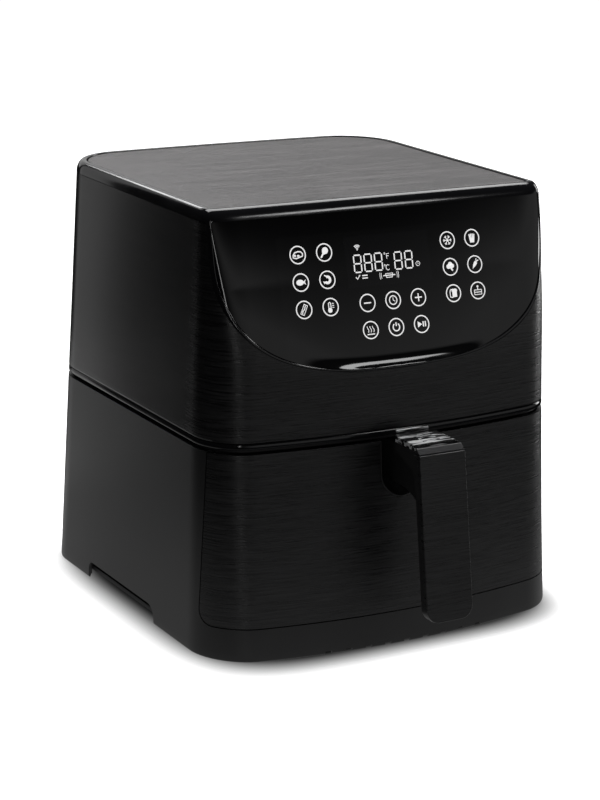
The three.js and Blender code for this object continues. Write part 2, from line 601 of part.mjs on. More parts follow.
const BUMPER_SPOTS = [['front_left', -1, -60], ['front_right', 1, -60], ['back_left', -1, 64], ['back_right', 1, 64]];
for (const [place, side, y] of BUMPER_SPOTS) {
  const x = side * (BASKET.half + 0.4);
  const reach = side * (PAN.half - PAN.wall - 1);
  add('basket_bumper_' + place, block(Math.min(x, reach), Math.max(x, reach), y - 8, y + 8, 58, 66), LOOKS.rubber);
}

// ---- handle ----
function gripOutline(halfWidth, length, radius, top = 0) {
  return roundedRectangle(-halfWidth, halfWidth, -length, top, [radius, radius, 1.2, 1.2]);
}
const halfGrip = HANDLE.width / 2;
add('handle_front', frontView(gripOutline(halfGrip, HANDLE.length, 10, -3), 0, HANDLE.bar, 8), LOOKS.brushed, grip);

// The back shell of the grip, its broad head under the button guard and the neck into the basket.
function handleBack() {
  const shell = frontView(gripOutline(halfGrip - 0.6, HANDLE.length - 0.8, 9.4, -3),
    HANDLE.bar + 0.5, HANDLE.bar + 0.5 + HANDLE.shell, 8);
  const tilted = solid(geometryOf(shell).rotateX(-HANDLE.tilt).translate(0, HANDLE.top[0], HANDLE.top[1]));
  const headShape = new THREE.Shape();
  headShape.moveTo(-187, 155.6);
  headShape.lineTo(-157, 155.6);
  headShape.lineTo(-157, 150);
  headShape.quadraticCurveTo(-170, 147, -185.6, 138);
  const head = sideView(headShape, -halfGrip + 2, halfGrip - 2, 6);
  const neckShape = new THREE.Shape();
  neckShape.moveTo(-186, 154);
  neckShape.lineTo(-146, 154);
  neckShape.lineTo(-140, WAIST - 2.5);
  neckShape.lineTo(-104.5, WAIST - 2.5);
  neckShape.lineTo(-104.5, 120);
  neckShape.lineTo(-150, 120);
  neckShape.quadraticCurveTo(-178, 118, -193, 88);
  const neck = sideView(neckShape, -NECK_HALF, NECK_HALF, 8);
  const buttonWell = block(-9.4, 9.4, -184.5, -169.5, 149, 170);
  const springWell = post(4.6, 140, 170, 0, BUTTON_Y, 16);
  const latchSlot = join(block(-3, 3, -173.4, -139, 138.4, 147.6), block(-3, 3, -142, -100, 141, 149.2),
    block(-3, 3, -173.4, -166, 140, 154));
  return cut(join(tilted, head, neck), buttonWell, springWell, latchSlot);
}
add('handle_back', handleBack(), LOOKS.satin);

// Pale bevelled cap along the top of the front bar.
const capShape = polygon([[-191.6, 155.6], [-187.6, 159.2], [-186.2, 159.2], [-186.2, 156], [-187.6, 155.9]]);
add('handle_cap', sideView(capShape, -halfGrip + 0.4, halfGrip - 0.4), LOOKS.grey);

const bracketPlate = block(-16, 16, -103.3, -101.2, 100, 145.6);
const bracketHook = block(-16, 16, -103.3, -93, 143.6, 145.6);
const bracketHoles = [-5.2, 5.2].map((x) => pin(1.9, -115, -85, x, 136, 10));
add('basket_bracket', cut(join(bracketPlate, bracketHook), ...bracketHoles), LOOKS.steel);
for (const [side, x] of [['left', -5.2], ['right', 5.2]]) {
  add('handle_screw_' + side, join(pin(1.5, -104.1, -96.6, x, 136, 8), pin(3.4, -97.4, -95, x, 136, 12)), LOOKS.steel);
}

// ---- button guard, release button and latch ----
function buttonGuard() {
  const g = GUARD;
  const sheet = block(-g.half, g.half, g.front, g.rear, g.bottom, g.bottom + g.sheet);
  const ridge = block(-g.half, g.half - 8, g.rear - 2.4, g.rear, g.bottom, g.bottom + g.ridge);
  const lip = block(-g.half, g.half, g.front, g.front + 1.8, g.bottom - 0.2, g.bottom + 2.6);
  const runners = [-1, 1].map((side) => block(side * g.half - (side > 0 ? 1.5 : 0), side * g.half + (side > 0 ? 0 : 1.5),
    g.front + 1, g.rear, g.bottom - 2.4, g.bottom + g.sheet));
  const marks = [-176, -171, -166].map((y) => block(-6, 6, y, y + 1.6, g.bottom + 1, g.bottom + g.sheet + 0.5));
  return join(sheet, ridge, lip, ...runners, ...marks);
}
add('button_guard', buttonGuard(), LOOKS.clear);
add('release_button', join(block(-9, 9, -184.1, -169.9, 153.6, 158.2), post(3, 150.4, 154, 0, BUTTON_Y, 14)), LOOKS.satin);

class Coil extends THREE.Curve {
  getPoint(t, target = new THREE.Vector3()) {
    const angle = t * 4 * 2 * Math.PI;
    return target.set(3.6 * Math.cos(angle), BUTTON_Y + 3.6 * Math.sin(angle), mix(141, 149.6, t));
  }
}
const wire = new THREE.ExtrudeGeometry(circle(0.45), { steps: 36, extrudePath: new Coil(), curveSegments: 3 });
add('button_spring', solid(wire), LOOKS.steel);

const latchShape = polygon([[-171.6, 142.2], [-108, 142.2], [-108, 145.4], [-168.8, 145.4], [-168.8, 153], [-171.6, 153]]);
add('latch_lever', sideView(latchShape, -2.2, 2.2), LOOKS.steel);

export default root;
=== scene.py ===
# %% [markdown]
# # A basket air fryer
#
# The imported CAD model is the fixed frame. This lesson puts detailed skins, finishes, lights and a camera
# round it. Every new piece is drawn in millimetres about the housing's centre line and then carried into
# the frame's metres, so the numbers below read like a drawing.

# %% Load the fixed frame
import json
import math
import bpy
import bmesh
import numpy as np
from mathutils import Matrix, Vector


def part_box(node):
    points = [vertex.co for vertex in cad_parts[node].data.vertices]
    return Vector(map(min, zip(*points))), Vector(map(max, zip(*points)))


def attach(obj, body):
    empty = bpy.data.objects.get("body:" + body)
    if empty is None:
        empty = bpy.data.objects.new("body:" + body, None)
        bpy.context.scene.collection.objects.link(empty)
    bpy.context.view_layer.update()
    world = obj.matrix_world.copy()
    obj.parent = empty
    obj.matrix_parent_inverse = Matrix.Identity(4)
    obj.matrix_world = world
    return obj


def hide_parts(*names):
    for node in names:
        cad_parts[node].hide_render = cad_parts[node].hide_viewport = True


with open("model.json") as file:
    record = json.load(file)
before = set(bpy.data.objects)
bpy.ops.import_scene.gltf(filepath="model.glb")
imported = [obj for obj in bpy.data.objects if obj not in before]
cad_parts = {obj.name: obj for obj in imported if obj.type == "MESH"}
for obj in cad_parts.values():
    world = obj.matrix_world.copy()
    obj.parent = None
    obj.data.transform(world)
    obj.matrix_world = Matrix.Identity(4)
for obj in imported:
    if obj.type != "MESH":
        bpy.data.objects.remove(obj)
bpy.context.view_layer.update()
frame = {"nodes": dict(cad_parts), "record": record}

# %% [markdown]
# ## Where the housing stands
#
# The fans turn on one upright shaft, which stands 8 mm behind the housing's centre line. Its box gives
# that centre line exactly, and one matrix then carries a drawing in millimetres into the frame.

# %% Drawing frame
MM = 0.001
SHAFT_BEHIND_CENTRE = 8.0
shaft_low, shaft_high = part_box("motor_shaft")
centre_y = (shaft_low.y + shaft_high.y) / 2 - SHAFT_BEHIND_CENTRE * MM
TO_ROW = Matrix.Translation((0, centre_y, 0)) @ Matrix.Scale(MM, 4)


def drawn_box(node):
    """A node's lowest and highest corners, in millimetres about the housing's centre line."""
    low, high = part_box(node)
    return TO_ROW.inverted() @ low, TO_ROW.inverted() @ high


HEIGHT = drawn_box("top_rim")[1].z
RIM_BOTTOM = drawn_box("top_rim")[0].z
WAIST = drawn_box("lower_housing")[1].z
BAND_BOTTOM, BAND_TOP = drawn_box("waist_band")[0].z, drawn_box("waist_band")[1].z
DRAWER_BOTTOM = drawn_box("drawer_front")[0].z
print("centre line at y =", round(centre_y, 4), "height", round(HEIGHT, 1), "waist", round(WAIST, 1))

# %% [markdown]
# ## Shader arithmetic
#
# A finish is easier to read as a formula than as a web of nodes. `Wire` holds one output socket and turns
# Python's operators into Math nodes. `Finish` is one material: its `node` method makes any node from its
# type, its settings and the values or wires of its sockets.

# %% Wires and finishes
class Wire:
    def __init__(self, finish, socket):
        self.finish, self.socket = finish, socket

    def math(self, operation, a, b=None):
        inputs = {0: a} if b is None else {0: a, 1: b}
        return self.finish.node("Math", {"operation": operation}, inputs)

    def __add__(self, other):
        return self.math("ADD", self, other)

    def __radd__(self, other):
        return self.math("ADD", other, self)

    def __sub__(self, other):
        return self.math("SUBTRACT", self, other)

    def __rsub__(self, other):
        return self.math("SUBTRACT", other, self)

    def __mul__(self, other):
        return self.math("MULTIPLY", self, other)

    def __rmul__(self, other):
        return self.math("MULTIPLY", other, self)

    def __truediv__(self, other):
        return self.math("DIVIDE", self, other)

    def __pow__(self, other):
        return self.math("POWER", self, other)

    def above(self, edge):
        return self.math("GREATER_THAN", self, edge)

    def below(self, edge):
        return self.math("LESS_THAN", self, edge)

    def size(self):
        return self.math("ABSOLUTE", self)

    def ramp(self, low, high, start=0.0, end=1.0):
        """Start below low, end above high, and a smooth slope between."""
        values = {"Value": self, "From Min": low, "From Max": high, "To Min": start, "To Max": end}
        return self.finish.node("MapRange", {"interpolation_type": "SMOOTHSTEP"}, values)


LOOKS = {}
for plain in list(bpy.data.materials):
    plain.name = "cad_" + plain.name


class Graph:
    """A node tree that is written as a formula."""
    def __init__(self, tree):
        self.nodes, self.links = tree.nodes, tree.links

    def plug(self, socket, value):
        if isinstance(value, Wire):
            self.links.new(value.socket, socket)
        elif isinstance(value, (tuple, list)) and len(value) == 3 and socket.type == "RGBA":
            socket.default_value = (*value, 1.0)
        else:
            socket.default_value = value

    def node(self, kind, settings, inputs, output=0):
        made = self.nodes.new("ShaderNode" + kind)
        for name, value in settings.items():
            setattr(made, name, value)
        for name, value in inputs.items():
            self.plug(made.inputs[name], value)
        return Wire(self, made.outputs[output])


class Finish(Graph):
    """One material, with its pattern on the piece's own Object coordinates."""
    def __init__(self, name, **shader):
        self.material = LOOKS[name] = bpy.data.materials.new(name)
        self.material.use_nodes = True
        super().__init__(self.material.node_tree)
        self.shader = self.nodes["Principled BSDF"]
        self.set(**shader)
        self.place = self.node("TexCoord", {}, {}, "Object")

    def axis(self, name):
        """The piece's own X, Y or Z, in metres."""
        return self.node("SeparateXYZ", {}, {0: self.place}, name)

    def stretched(self, scale):
        return self.node("Mapping", {"vector_type": "POINT"}, {"Vector": self.place, "Scale": scale})

    def noise(self, scale, size=1.0, detail=2.0, rough=0.5):
        """Noise from 0 to 1 on the object's own coordinates; a number or three for the scale."""
        at = self.stretched(scale) if isinstance(scale, tuple) else self.place
        size = size if isinstance(scale, tuple) else scale
        return self.node("TexNoise", {}, {"Vector": at, "Scale": size, "Detail": detail, "Roughness": rough})

    def blend(self, factor, first, second):
        return self.node("Mix", {"data_type": "RGBA"}, {"Factor": factor, 6: first, 7: second}, 2)

    def bump(self, height, strength, distance):
        values = {"Height": height, "Strength": strength, "Distance": distance}
        self.plug(self.shader.inputs["Normal"], self.node("Bump", {}, values))

    def set(self, **inputs):
        for socket, value in inputs.items():
            self.plug(self.shader.inputs[socket.replace("_", " ")], value)
        return self


# %% [markdown]
# ## The dark finishes
#
# Nearly everything outside is black, so the finishes differ in how they take light. The front, the handle
# and the lid are brushed: long streaks that lie level, made from noise squeezed in height and stretched
# along the surface. The mouldings have a fine spark-eroded grain. The rim, the bands and the glass are
# polished.

# %% Brushed black
def brushed(name, dark, pale, across, along, shine, depth, fade_from):
    """Streaks as coarse as `across` per metre one way and `along` the other, fainter behind y = fade_from."""
    look = Finish(name)
    coarse = look.noise(along, 1.0, 3.0, 0.6)
    fine = look.noise(across, 1.0, 2.0, 0.5)
    streak = coarse * 0.6 + fine * 0.4
    faded = 1.0 - look.axis("Y").ramp(fade_from, fade_from + 0.05, 0.0, 0.8)
    wave = look.noise(7.0, detail=1.0)
    tone = streak.ramp(0.36, 0.66)
    look.set(Base_Color=look.blend(tone * faded, dark, pale),
             Roughness=shine - 0.12 + faded * (streak.ramp(0.35, 0.65, -0.09, 0.11) + 0.12) + wave * 0.05)
    look.bump(streak * faded, 0.5, depth)
    return look.material


BRUSHED_FRONT = brushed("brushed_black", (0.004, 0.004, 0.0045), (0.026, 0.026, 0.027),
                        (60.0, 60.0, 2600.0), (26.0, 26.0, 900.0), 0.31, 0.0006, centre_y - 0.125)
BRUSHED_LID = brushed("top_plate_brushed", (0.002, 0.0018, 0.0019), (0.1, 0.092, 0.094),
                      (36.0, 2000.0, 1.0), (13.0, 560.0, 1.0), 0.36, 0.0012, 1.0)
print("streaks drawn", BRUSHED_FRONT.name, BRUSHED_LID.name)

# %% Moulded and polished plastics
def moulded(name, colour, shine, grain=5200.0, depth=0.00012):
    """Plastic with a fine eroded grain and slow drifts of sheen."""
    look = Finish(name)
    pits = look.noise(grain, detail=2.0)
    drift = look.noise(11.0, detail=2.0)
    paler = tuple(min(1.0, c * 1.5 + 0.002) for c in colour)
    look.set(Base_Color=look.blend(drift.ramp(0.3, 0.7), colour, paler),
             Roughness=shine + drift * 0.08 + pits * 0.06 - 0.07)
    look.bump(pits, 0.25, depth)
    return look.material


def polished(name, colour, shine):
    """High-gloss plastic: faint swirls in the gloss and a breath of orange peel."""
    look = Finish(name, IOR=1.52)
    peel = look.noise(240.0, detail=1.0)
    haze = look.noise(30.0, detail=3.0)
    paler = tuple(c * 1.4 + 0.001 for c in colour)
    look.set(Base_Color=look.blend(haze, colour, paler), Roughness=shine + haze.ramp(0.35, 0.75) * 0.05)
    look.bump(peel, 0.04, 0.0002)
    return look.material


SATIN = moulded("satin_black", (0.013, 0.013, 0.0135), 0.36)
DARK = moulded("dark_moulding", (0.008, 0.008, 0.009), 0.6)
GLOSS = polished("gloss_black", (0.006, 0.006, 0.007), 0.10)
GREY = moulded("grey_trim", (0.022, 0.022, 0.023), 0.3, depth=0.00005)
RED = moulded("red_part", (0.35, 0.04, 0.03), 0.4)
RUBBER = moulded("rubber", (0.012, 0.012, 0.012), 0.78, 2600.0, 0.0003)
print("plastics", len(LOOKS) - 2)

# %% [markdown]
# ## The touch panel's glass
#
# The panel is one sheet of near-black glass. Behind it a sheet of film makes the key area a shade lighter
# and the display window lighter again. Seen from in front both are rectangles, so the masks use the piece's
# own X and Z.

# %% Panel glass
KEY_AREA = {"half": 0.0885, "low": 0.19, "high": 0.299, "soft": 0.0012}
DISPLAY_AREA = {"half": 0.0345, "low": 0.2615, "high": 0.2955, "soft": 0.0008}


def window(x, z, half, low, high, soft):
    """1 inside a rectangle of the panel, 0 outside, with soft edges, all in metres."""
    sides = x.size().ramp(half, half + soft, 1.0, 0.0)
    return sides * z.ramp(low - soft, low) * z.ramp(high, high + soft, 1.0, 0.0)


def panel_glass():
    look = Finish("panel_glass", IOR=1.5, Coat_Weight=0.0)
    x, z = look.axis("X"), look.axis("Z")
    keys, display = window(x, z, **KEY_AREA), window(x, z, **DISPLAY_AREA)
    ground = look.blend(keys, (0.0035, 0.0035, 0.004), (0.006, 0.006, 0.0065))
    dust = look.noise(900.0, detail=2.0)
    look.set(Base_Color=look.blend(display, ground, (0.0095, 0.0095, 0.0105)),
             Roughness=0.05 + dust.ramp(0.5, 0.8) * 0.03)
    return look.material


def printed_white_and_glow():
    # The marks are printed white, and their emission adds a painted glow that no lamp gives them.
    look = Finish("printed_marks", Emission_Strength=0.75)
    fleck = look.noise(3000.0, detail=1.0)
    colour = look.blend(fleck, (0.78, 0.78, 0.78), (0.92, 0.92, 0.92))
    return look.set(Base_Color=colour, Emission_Color=colour, Roughness=0.5).material


GLASS = panel_glass()
PRINT_AND_GLOW = printed_white_and_glow()

# %% Clear guard, metals, boards and coatings
def clear_plastic():
    look = Finish("clear_plastic", Transmission_Weight=0.35, IOR=1.49)
    flow = look.noise(55.0, detail=2.0)
    # Painted highlights: stretched noise turns the clear guard's colour from near black to near white in
    # streaks, standing in for glints of light on the plastic.
    painted_glint = look.noise((38.0, 260.0, 420.0), 1.0, 2.0)
    look.set(Base_Color=look.blend(painted_glint.ramp(0.46, 0.6), (0.02, 0.02, 0.021), (0.95, 0.96, 0.97)),
             Roughness=0.03 + flow * 0.05)
    look.bump(flow, 0.12, 0.0006)
    return look.material


def metal(name, colour, shine, scale, depth=0.0001):
    """Sheet metal with a rolling grain, or a drawn rod's fine lines."""
    look = Finish(name, Metallic=1.0)
    grain = look.noise(scale, 1.0, 3.0)
    stain = look.noise(18.0, detail=3.0)
    darker = tuple(c * 0.72 for c in colour)
    look.set(Base_Color=look.blend(stain.ramp(0.35, 0.7), darker, colour),
             Roughness=shine + grain * 0.18 - 0.09)
    look.bump(grain, 0.2, depth)
    return look.material


def speckled_coat():
    look = Finish("nonstick_coat", IOR=1.45)
    speck = look.node("TexVoronoi", {"feature": "F1"}, {"Vector": look.place, "Scale": 900.0})
    dot = speck.below(0.16)
    grain = look.noise(2600.0, detail=2.0)
    look.set(Base_Color=look.blend(dot, (0.018, 0.018, 0.019), (0.13, 0.13, 0.135)),
             Roughness=0.36 + grain * 0.14)
    look.bump(grain, 0.3, 0.00015)
    return look.material


def circuit_board():
    look = Finish("circuit_board")
    brick = {"Vector": look.place, "Scale": 110.0, "Mortar Size": 0.012, "Color1": (0.02, 0.11, 0.045),
             "Color2": (0.016, 0.09, 0.036), "Mortar": (0.05, 0.2, 0.09)}
    tracks = look.node("TexBrick", {}, brick)
    weave = look.noise(1500.0, detail=1.0)
    look.set(Base_Color=tracks, Roughness=0.3 + weave * 0.15)
    look.bump(weave, 0.15, 0.0001)
    return look.material


CLEAR = clear_plastic()
STEEL = metal("sheet_steel", (0.55, 0.55, 0.56), 0.36, (60.0, 1200.0, 1200.0))
HEATER = metal("heater_tube", (0.26, 0.23, 0.21), 0.45, (300.0, 300.0, 300.0), 0.0002)
MOTOR = metal("motor_steel", (0.42, 0.42, 0.44), 0.42, (80.0, 80.0, 2600.0))
COAT = speckled_coat()
circuit_board()
print("finishes", sorted(LOOKS))

# %% [markdown]
# ## From a drawing to a piece
#
# One helper ends every piece. Rounding an edge also hardens the normals, so that flat faces stay flat
# under the highlights.

# %% Finishing helper
def as_object(name, bm):
    bmesh.ops.transform(bm, matrix=TO_ROW, verts=bm.verts)
    mesh = bpy.data.meshes.new(name)
    bm.to_mesh(mesh)
    bm.free()
    mesh.polygons.foreach_set("use_smooth", [True] * len(mesh.polygons))
    made = bpy.data.objects.new(name, mesh)
    bpy.context.scene.collection.objects.link(made)
    return made


def apply_modifiers(made):
    """Leaves the object with the mesh that its modifiers made, and without the modifiers."""
    bpy.context.view_layer.update()
    result = bpy.data.meshes.new_from_object(made.evaluated_get(bpy.context.evaluated_depsgraph_get()))
    made.modifiers.clear()
    made.data = result


PIECES = {}


def piece(name, bm, body, look, stands_for=(), wall=0.0, joined=(), cutters=(), round_off=0.0, steps=2,
          angle=30, even=True):
    """Makes the finished object `name` from a drawing in millimetres."""
    made = as_object(name, bm)
    if wall:
        thick = made.modifiers.new("wall", "SOLIDIFY")
        thick.thickness, thick.offset, thick.use_even_offset = wall * MM, -1.0, even
    work = [("UNION", tool) for tool in joined] + [("DIFFERENCE", tool) for tool in cutters]
    tools = [(operation, as_object(name + "_tool", tool)) for operation, tool in work]
    for operation, tool in tools:
        step = made.modifiers.new(operation, "BOOLEAN")
        step.object, step.operation, step.solver = tool, operation, "EXACT"
    if round_off:
        edge = made.modifiers.new("edge", "BEVEL")
        edge.width, edge.segments, edge.profile = round_off * MM, steps, 0.5
        edge.limit_method, edge.angle_limit, edge.harden_normals = "ANGLE", math.radians(angle), True
        edge.use_clamp_overlap = True
    apply_modifiers(made)
    if not round_off:
        made.data.set_sharp_from_angle(angle=math.radians(angle))
    for _, tool in tools:
        bpy.data.objects.remove(tool)
    made.data.materials.clear()
    made.data.materials.append(look)
    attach(made, body)
    if stands_for:
        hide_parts(*stands_for)
    PIECES[name] = made
    return made


# %% [markdown]
# ## Sheets and blocks
#
# Curved shells start as a flat grid whose vertices are then carried to their places, row by row; where the
# two ends meet, the doubles are merged. Solid parts start as a cube. Round ones are spun or start as cones.

# %% Sheet, block, rod and spun shapes
def middle(node):
    low, high = drawn_box(node)
    return (low + high) / 2


def sheet(rows, closed=False, outward=None):
    """A quad sheet through equal rows of points. Faces look away from the point `outward`."""
    bm = bmesh.new()
    bmesh.ops.create_grid(bm, x_segments=len(rows[0]) - 1, y_segments=len(rows) - 1, size=1)
    bm.verts.ensure_lookup_table()
    for vertex, point in zip(bm.verts, (point for row in rows for point in row)):
        vertex.co = point
    if closed:
        bmesh.ops.remove_doubles(bm, verts=bm.verts, dist=1e-3)
    bmesh.ops.recalc_face_normals(bm, faces=bm.faces)
    if outward is not None:
        away = sum((f.calc_center_median() - Vector(outward)).dot(f.normal) * f.calc_area() for f in bm.faces)
        if away < 0:
            bmesh.ops.reverse_faces(bm, faces=bm.faces)
    return bm


def capped(bm):
    """The same skin with its open ends filled."""
    bmesh.ops.holes_fill(bm, edges=[e for e in bm.edges if e.is_boundary])
    bmesh.ops.recalc_face_normals(bm, faces=bm.faces)
    return bm


def add_block(bm, low, high, matrix=Matrix.Identity(4)):
    low, high = Vector(low), Vector(high)
    size = Matrix.Diagonal((*(high - low), 1.0))
    bmesh.ops.create_cube(bm, size=1, matrix=matrix @ Matrix.Translation((low + high) / 2) @ size)


def block(low, high):
    bm = bmesh.new()
    add_block(bm, low, high)
    return bm


def rounded(bm, radius, steps, chosen):
    """Rounds the edges whose two ends satisfy `chosen`."""
    edges = [e for e in bm.edges if chosen(*(v.co for v in e.verts))]
    bmesh.ops.bevel(bm, geom=edges, offset=radius, offset_type="OFFSET", segments=steps, profile=0.5,
                    affect="EDGES", material=-1)
    return bm


def add_rod(bm, radius, start, end, sides=32):
    start, end = Vector(start), Vector(end)
    turn = (end - start).to_track_quat("Z", "Y").to_matrix().to_4x4()
    bmesh.ops.create_cone(bm, cap_ends=True, segments=sides, radius1=radius, radius2=radius,
                          depth=(end - start).length, matrix=Matrix.Translation((start + end) / 2) @ turn)


def rod(radius, start, end):
    bm = bmesh.new()
    add_rod(bm, radius, start, end)
    return bm


def spun(profile, centre=(0, 0, 0), sides=48):
    """A profile of (radius, height) points, both ends on the axis, spun about the upright through centre."""
    bm = bmesh.new()
    points = [bm.verts.new((r, 0, z)) for r, z in profile]
    edges = [bm.edges.new((a, b)) for a, b in zip(points, points[1:])]
    bmesh.ops.spin(bm, geom=points + edges, axis=(0, 0, 1), cent=(0, 0, 0), angle=2 * math.pi, steps=sides,
                   use_merge=True)
    bmesh.ops.remove_doubles(bm, verts=bm.verts, dist=1e-4)
    bmesh.ops.recalc_face_normals(bm, faces=bm.faces)
    bmesh.ops.translate(bm, verts=bm.verts, vec=centre)
    return bm


# %% [markdown]
# ## The housing's form
#
# The body is a rounded rectangle that narrows upwards, with a front that bows out between its corners.
# One function gives a quarter of the rules for every height, and every outer shell is drawn from it, so
# that the drawer front, the casing, the band and the rim always line up.

# %% Section and outline
FORM = {"half": (150.5, 140.5), "front": (155.0, 128.0), "back": (155.0, 153.0), "bulge": (20.5, 7.0),
        "front_corner": (35.5, 26.0), "back_corner": (32.5, 46.5)}
FRONT_HOLLOW = 12.0
BACK_BULGE = 3.3
STRAIGHT_POINTS, FRONT_TURN_STEPS, BACK_TURN_STEPS = 40, 60, 50


def mix(a, b, share):
    return a + (b - a) * share


def section(z):
    """The form's measures at height z, each between its value at the base and at the top."""
    u = z / HEIGHT
    sizes = {name: mix(base, top, u) for name, (base, top) in FORM.items()}
    sizes["front"] -= FRONT_HOLLOW * u * (1 - u)
    return sizes


def arc(cx, cy, radius, first, last, steps):
    angles = np.radians(np.linspace(first, last, steps + 1))
    return np.column_stack([cx + radius * np.cos(angles), cy + radius * np.sin(angles)])


def half_outline(z, inset=0.0):
    """Points from the middle of the front, round the right side, to the middle of the back."""
    s, n = section(z), STRAIGHT_POINTS
    half, front, back = s["half"] - inset, s["front"] - s["bulge"] - inset, s["back"] - BACK_BULGE - inset
    rf, rb = max(s["front_corner"] - inset, 1.0), max(s["back_corner"] - inset, 1.0)
    points = np.vstack([
        np.column_stack([np.linspace(0, half - rf, n)[:-1], np.full(n - 1, -front)]),
        arc(half - rf, -front + rf, rf, -90, 0, FRONT_TURN_STEPS),
        np.column_stack([np.full(n - 2, half), np.linspace(-front + rf, back - rb, n)[1:-1]]),
        arc(half - rb, back - rb, rb, 0, 90, BACK_TURN_STEPS),
        np.column_stack([np.linspace(half - rb, 0, n)[1:], np.full(n - 1, back)])])
    bow = 1 - (points[:, 0] / half) ** 2
    points[:, 1] += np.where(points[:, 1] < 0, s["bulge"] * bow * points[:, 1] / front,
                             BACK_BULGE * bow * points[:, 1] / back)
    return points


def spaced(points, steps):
    """The same line with evenly spaced points."""
    run = np.concatenate([[0], np.cumsum(np.linalg.norm(np.diff(points, axis=0), axis=1))])
    at = np.linspace(0, run[-1], steps + 1)
    return np.column_stack([np.interp(at, run, points[:, 0]), np.interp(at, run, points[:, 1])])


def mirrored(points):
    return (points * [-1, 1])[::-1]


def split(z, seam_y, inset=0.0):
    """The right half of the outline, cut where it passes seam_y: the front part and the rest."""
    points = half_outline(z, inset)
    i = int(np.argmax(points[:, 1] > seam_y))
    share = (seam_y - points[i - 1, 1]) / (points[i, 1] - points[i - 1, 1])
    cut = points[i - 1] + share * (points[i] - points[i - 1])
    return np.vstack([points[:i], cut]), np.vstack([cut, points[i:]])


ACROSS, AROUND = 72, 168


def front_row(z, seam_y, inset=0.0):
    right, _ = split(z, seam_y, inset)
    line = spaced(np.vstack([mirrored(right)[:-1], right]), ACROSS)
    return [(x, y, z) for x, y in line]


def back_row(z, seam_y, inset=0.0):
    _, right = split(z, seam_y, inset)
    line = spaced(np.vstack([right, mirrored(right)[1:]]), AROUND)
    return [(x, y, z) for x, y in line]


SEAM_Y = -108.5


def ring(z, inset=0.0, seam_y=SEAM_Y):
    return front_row(z, seam_y, inset) + back_row(z, seam_y, inset)[1:]


def front_y(x, z):
    """Where the housing's front surface stands at x and z."""
    s = section(z)
    front, rf = s["front"] - s["bulge"], s["front_corner"]
    into_corner = max(abs(x) - (s["half"] - rf), 0.0)
    line = -front + rf - math.sqrt(max(rf * rf - into_corner ** 2, 0.0))
    return line + s["bulge"] * (1 - (x / s["half"]) ** 2) * line / front


print("outline at the waist", len(ring(WAIST)), "points, front at", round(front_y(0, WAIST), 1))

# %% [markdown]
# ## Lower housing
#
# One moulded shell makes the sides, the back and the strip below the drawer. The drawer's opening has a
# rounded lower corner, so the column of vertices along the opening follows that corner as it rises. The
# strip is a full ring, and above it the front columns are simply left out. Hand holds, small vents along
# the front edge and the cord's hole are cut afterwards.

# %% Lower housing
SEAM_GAP = 0.8
CORNER = 12.0
CORNER_TURNS = (12, 24, 36, 48, 60, 72, 82, 90)
FOOT_EDGE = [(1.5, 1.5), (1.7, 0.9), (2.3, 0.3), (3.4, 0.0), (8, 0), (14, 0), (20, 0)]
HOLD_FRONT, HOLD_BACK, HOLD_TOP, HOLD_FRONT_RADIUS, HOLD_BACK_RADIUS = -41, 74, 15, 11.0, 6.0
VENT_HALF, VENT_PITCH, VENT_TOP, OUTER_VENT = 2.6, 16, 3.9, 64
CORD_HOLE_RADIUS = 9.7


def opening_edge(z, bottom, edge_y, radius):
    """How far forward a seam with a rounded lower corner stands at height z."""
    below = max(bottom + radius - z, 0.0)
    return edge_y - (radius - math.sqrt(max(radius ** 2 - min(below, radius) ** 2, 0.0)))


def lower_housing():
    sill = DRAWER_BOTTOM - SEAM_GAP
    corner = [sill + CORNER * (1 - math.cos(math.radians(a))) for a in CORNER_TURNS]
    rise = list(np.linspace(sill + CORNER, WAIST, 20)[1:])
    rows = [ring(z, inset, opening_edge(sill, sill, SEAM_Y, CORNER)) for z, inset in [*FOOT_EDGE, (sill, 0)]]
    rows += [ring(z, 0, opening_edge(z, sill, SEAM_Y, CORNER)) for z in corner + rise]
    bm = sheet(rows, closed=True, outward=(0, 0, 80))
    centres = {f: f.calc_center_median() for f in bm.faces}
    open_front = [f for f, at in centres.items()
                  if at.z > sill and at.y < opening_edge(at.z, sill, SEAM_Y, CORNER)]
    bmesh.ops.delete(bm, geom=open_front, context="FACES")
    return bm


def hand_hold(side):
    """The arch that is cut from the side's lower edge, rounded at its upper corners."""
    bm = block((130 * side - 25, HOLD_FRONT, -12), (130 * side + 25, HOLD_BACK, HOLD_TOP))
    for edge_y, radius in ((HOLD_FRONT, HOLD_FRONT_RADIUS), (HOLD_BACK, HOLD_BACK_RADIUS)):
        rounded(bm, radius, 10, lambda a, b: all(abs(p.y - edge_y) < 1 and p.z > 10 for p in (a, b)))
    return bm


def skirt_vents():
    bm = bmesh.new()
    for x in range(-OUTER_VENT, OUTER_VENT + 1, VENT_PITCH):
        add_block(bm, (x - VENT_HALF, -170, -2), (x + VENT_HALF, -120, VENT_TOP))
    return bm


def cord_hole():
    at = middle("cord_gland")
    return rod(CORD_HOLE_RADIUS, (at.x, 140, at.z), (at.x, 170, at.z))


shell = piece("lower_housing_shell", lower_housing(), "housing", SATIN, ["lower_housing"], wall=3.0,
              cutters=[hand_hold(-1), hand_hold(1), skirt_vents(), cord_hole()], round_off=0.5, angle=45)
print("lower housing", len(shell.data.polygons), "faces")

# %% [markdown]
# ## Waist band and collar
#
# A polished band closes the upper housing, and a collar set back from it leaves the dark groove that the
# drawer's top edge slides under. Both are rings: rows of the same outline at different insets, where the
# last row meets the first again.

# %% Rings round the housing
def hoop(section_rows):
    """A closed ring through (height, inset) rows."""
    rows = [ring(z, inset) for z, inset in [*section_rows, section_rows[0]]]
    return sheet(rows, closed=True)


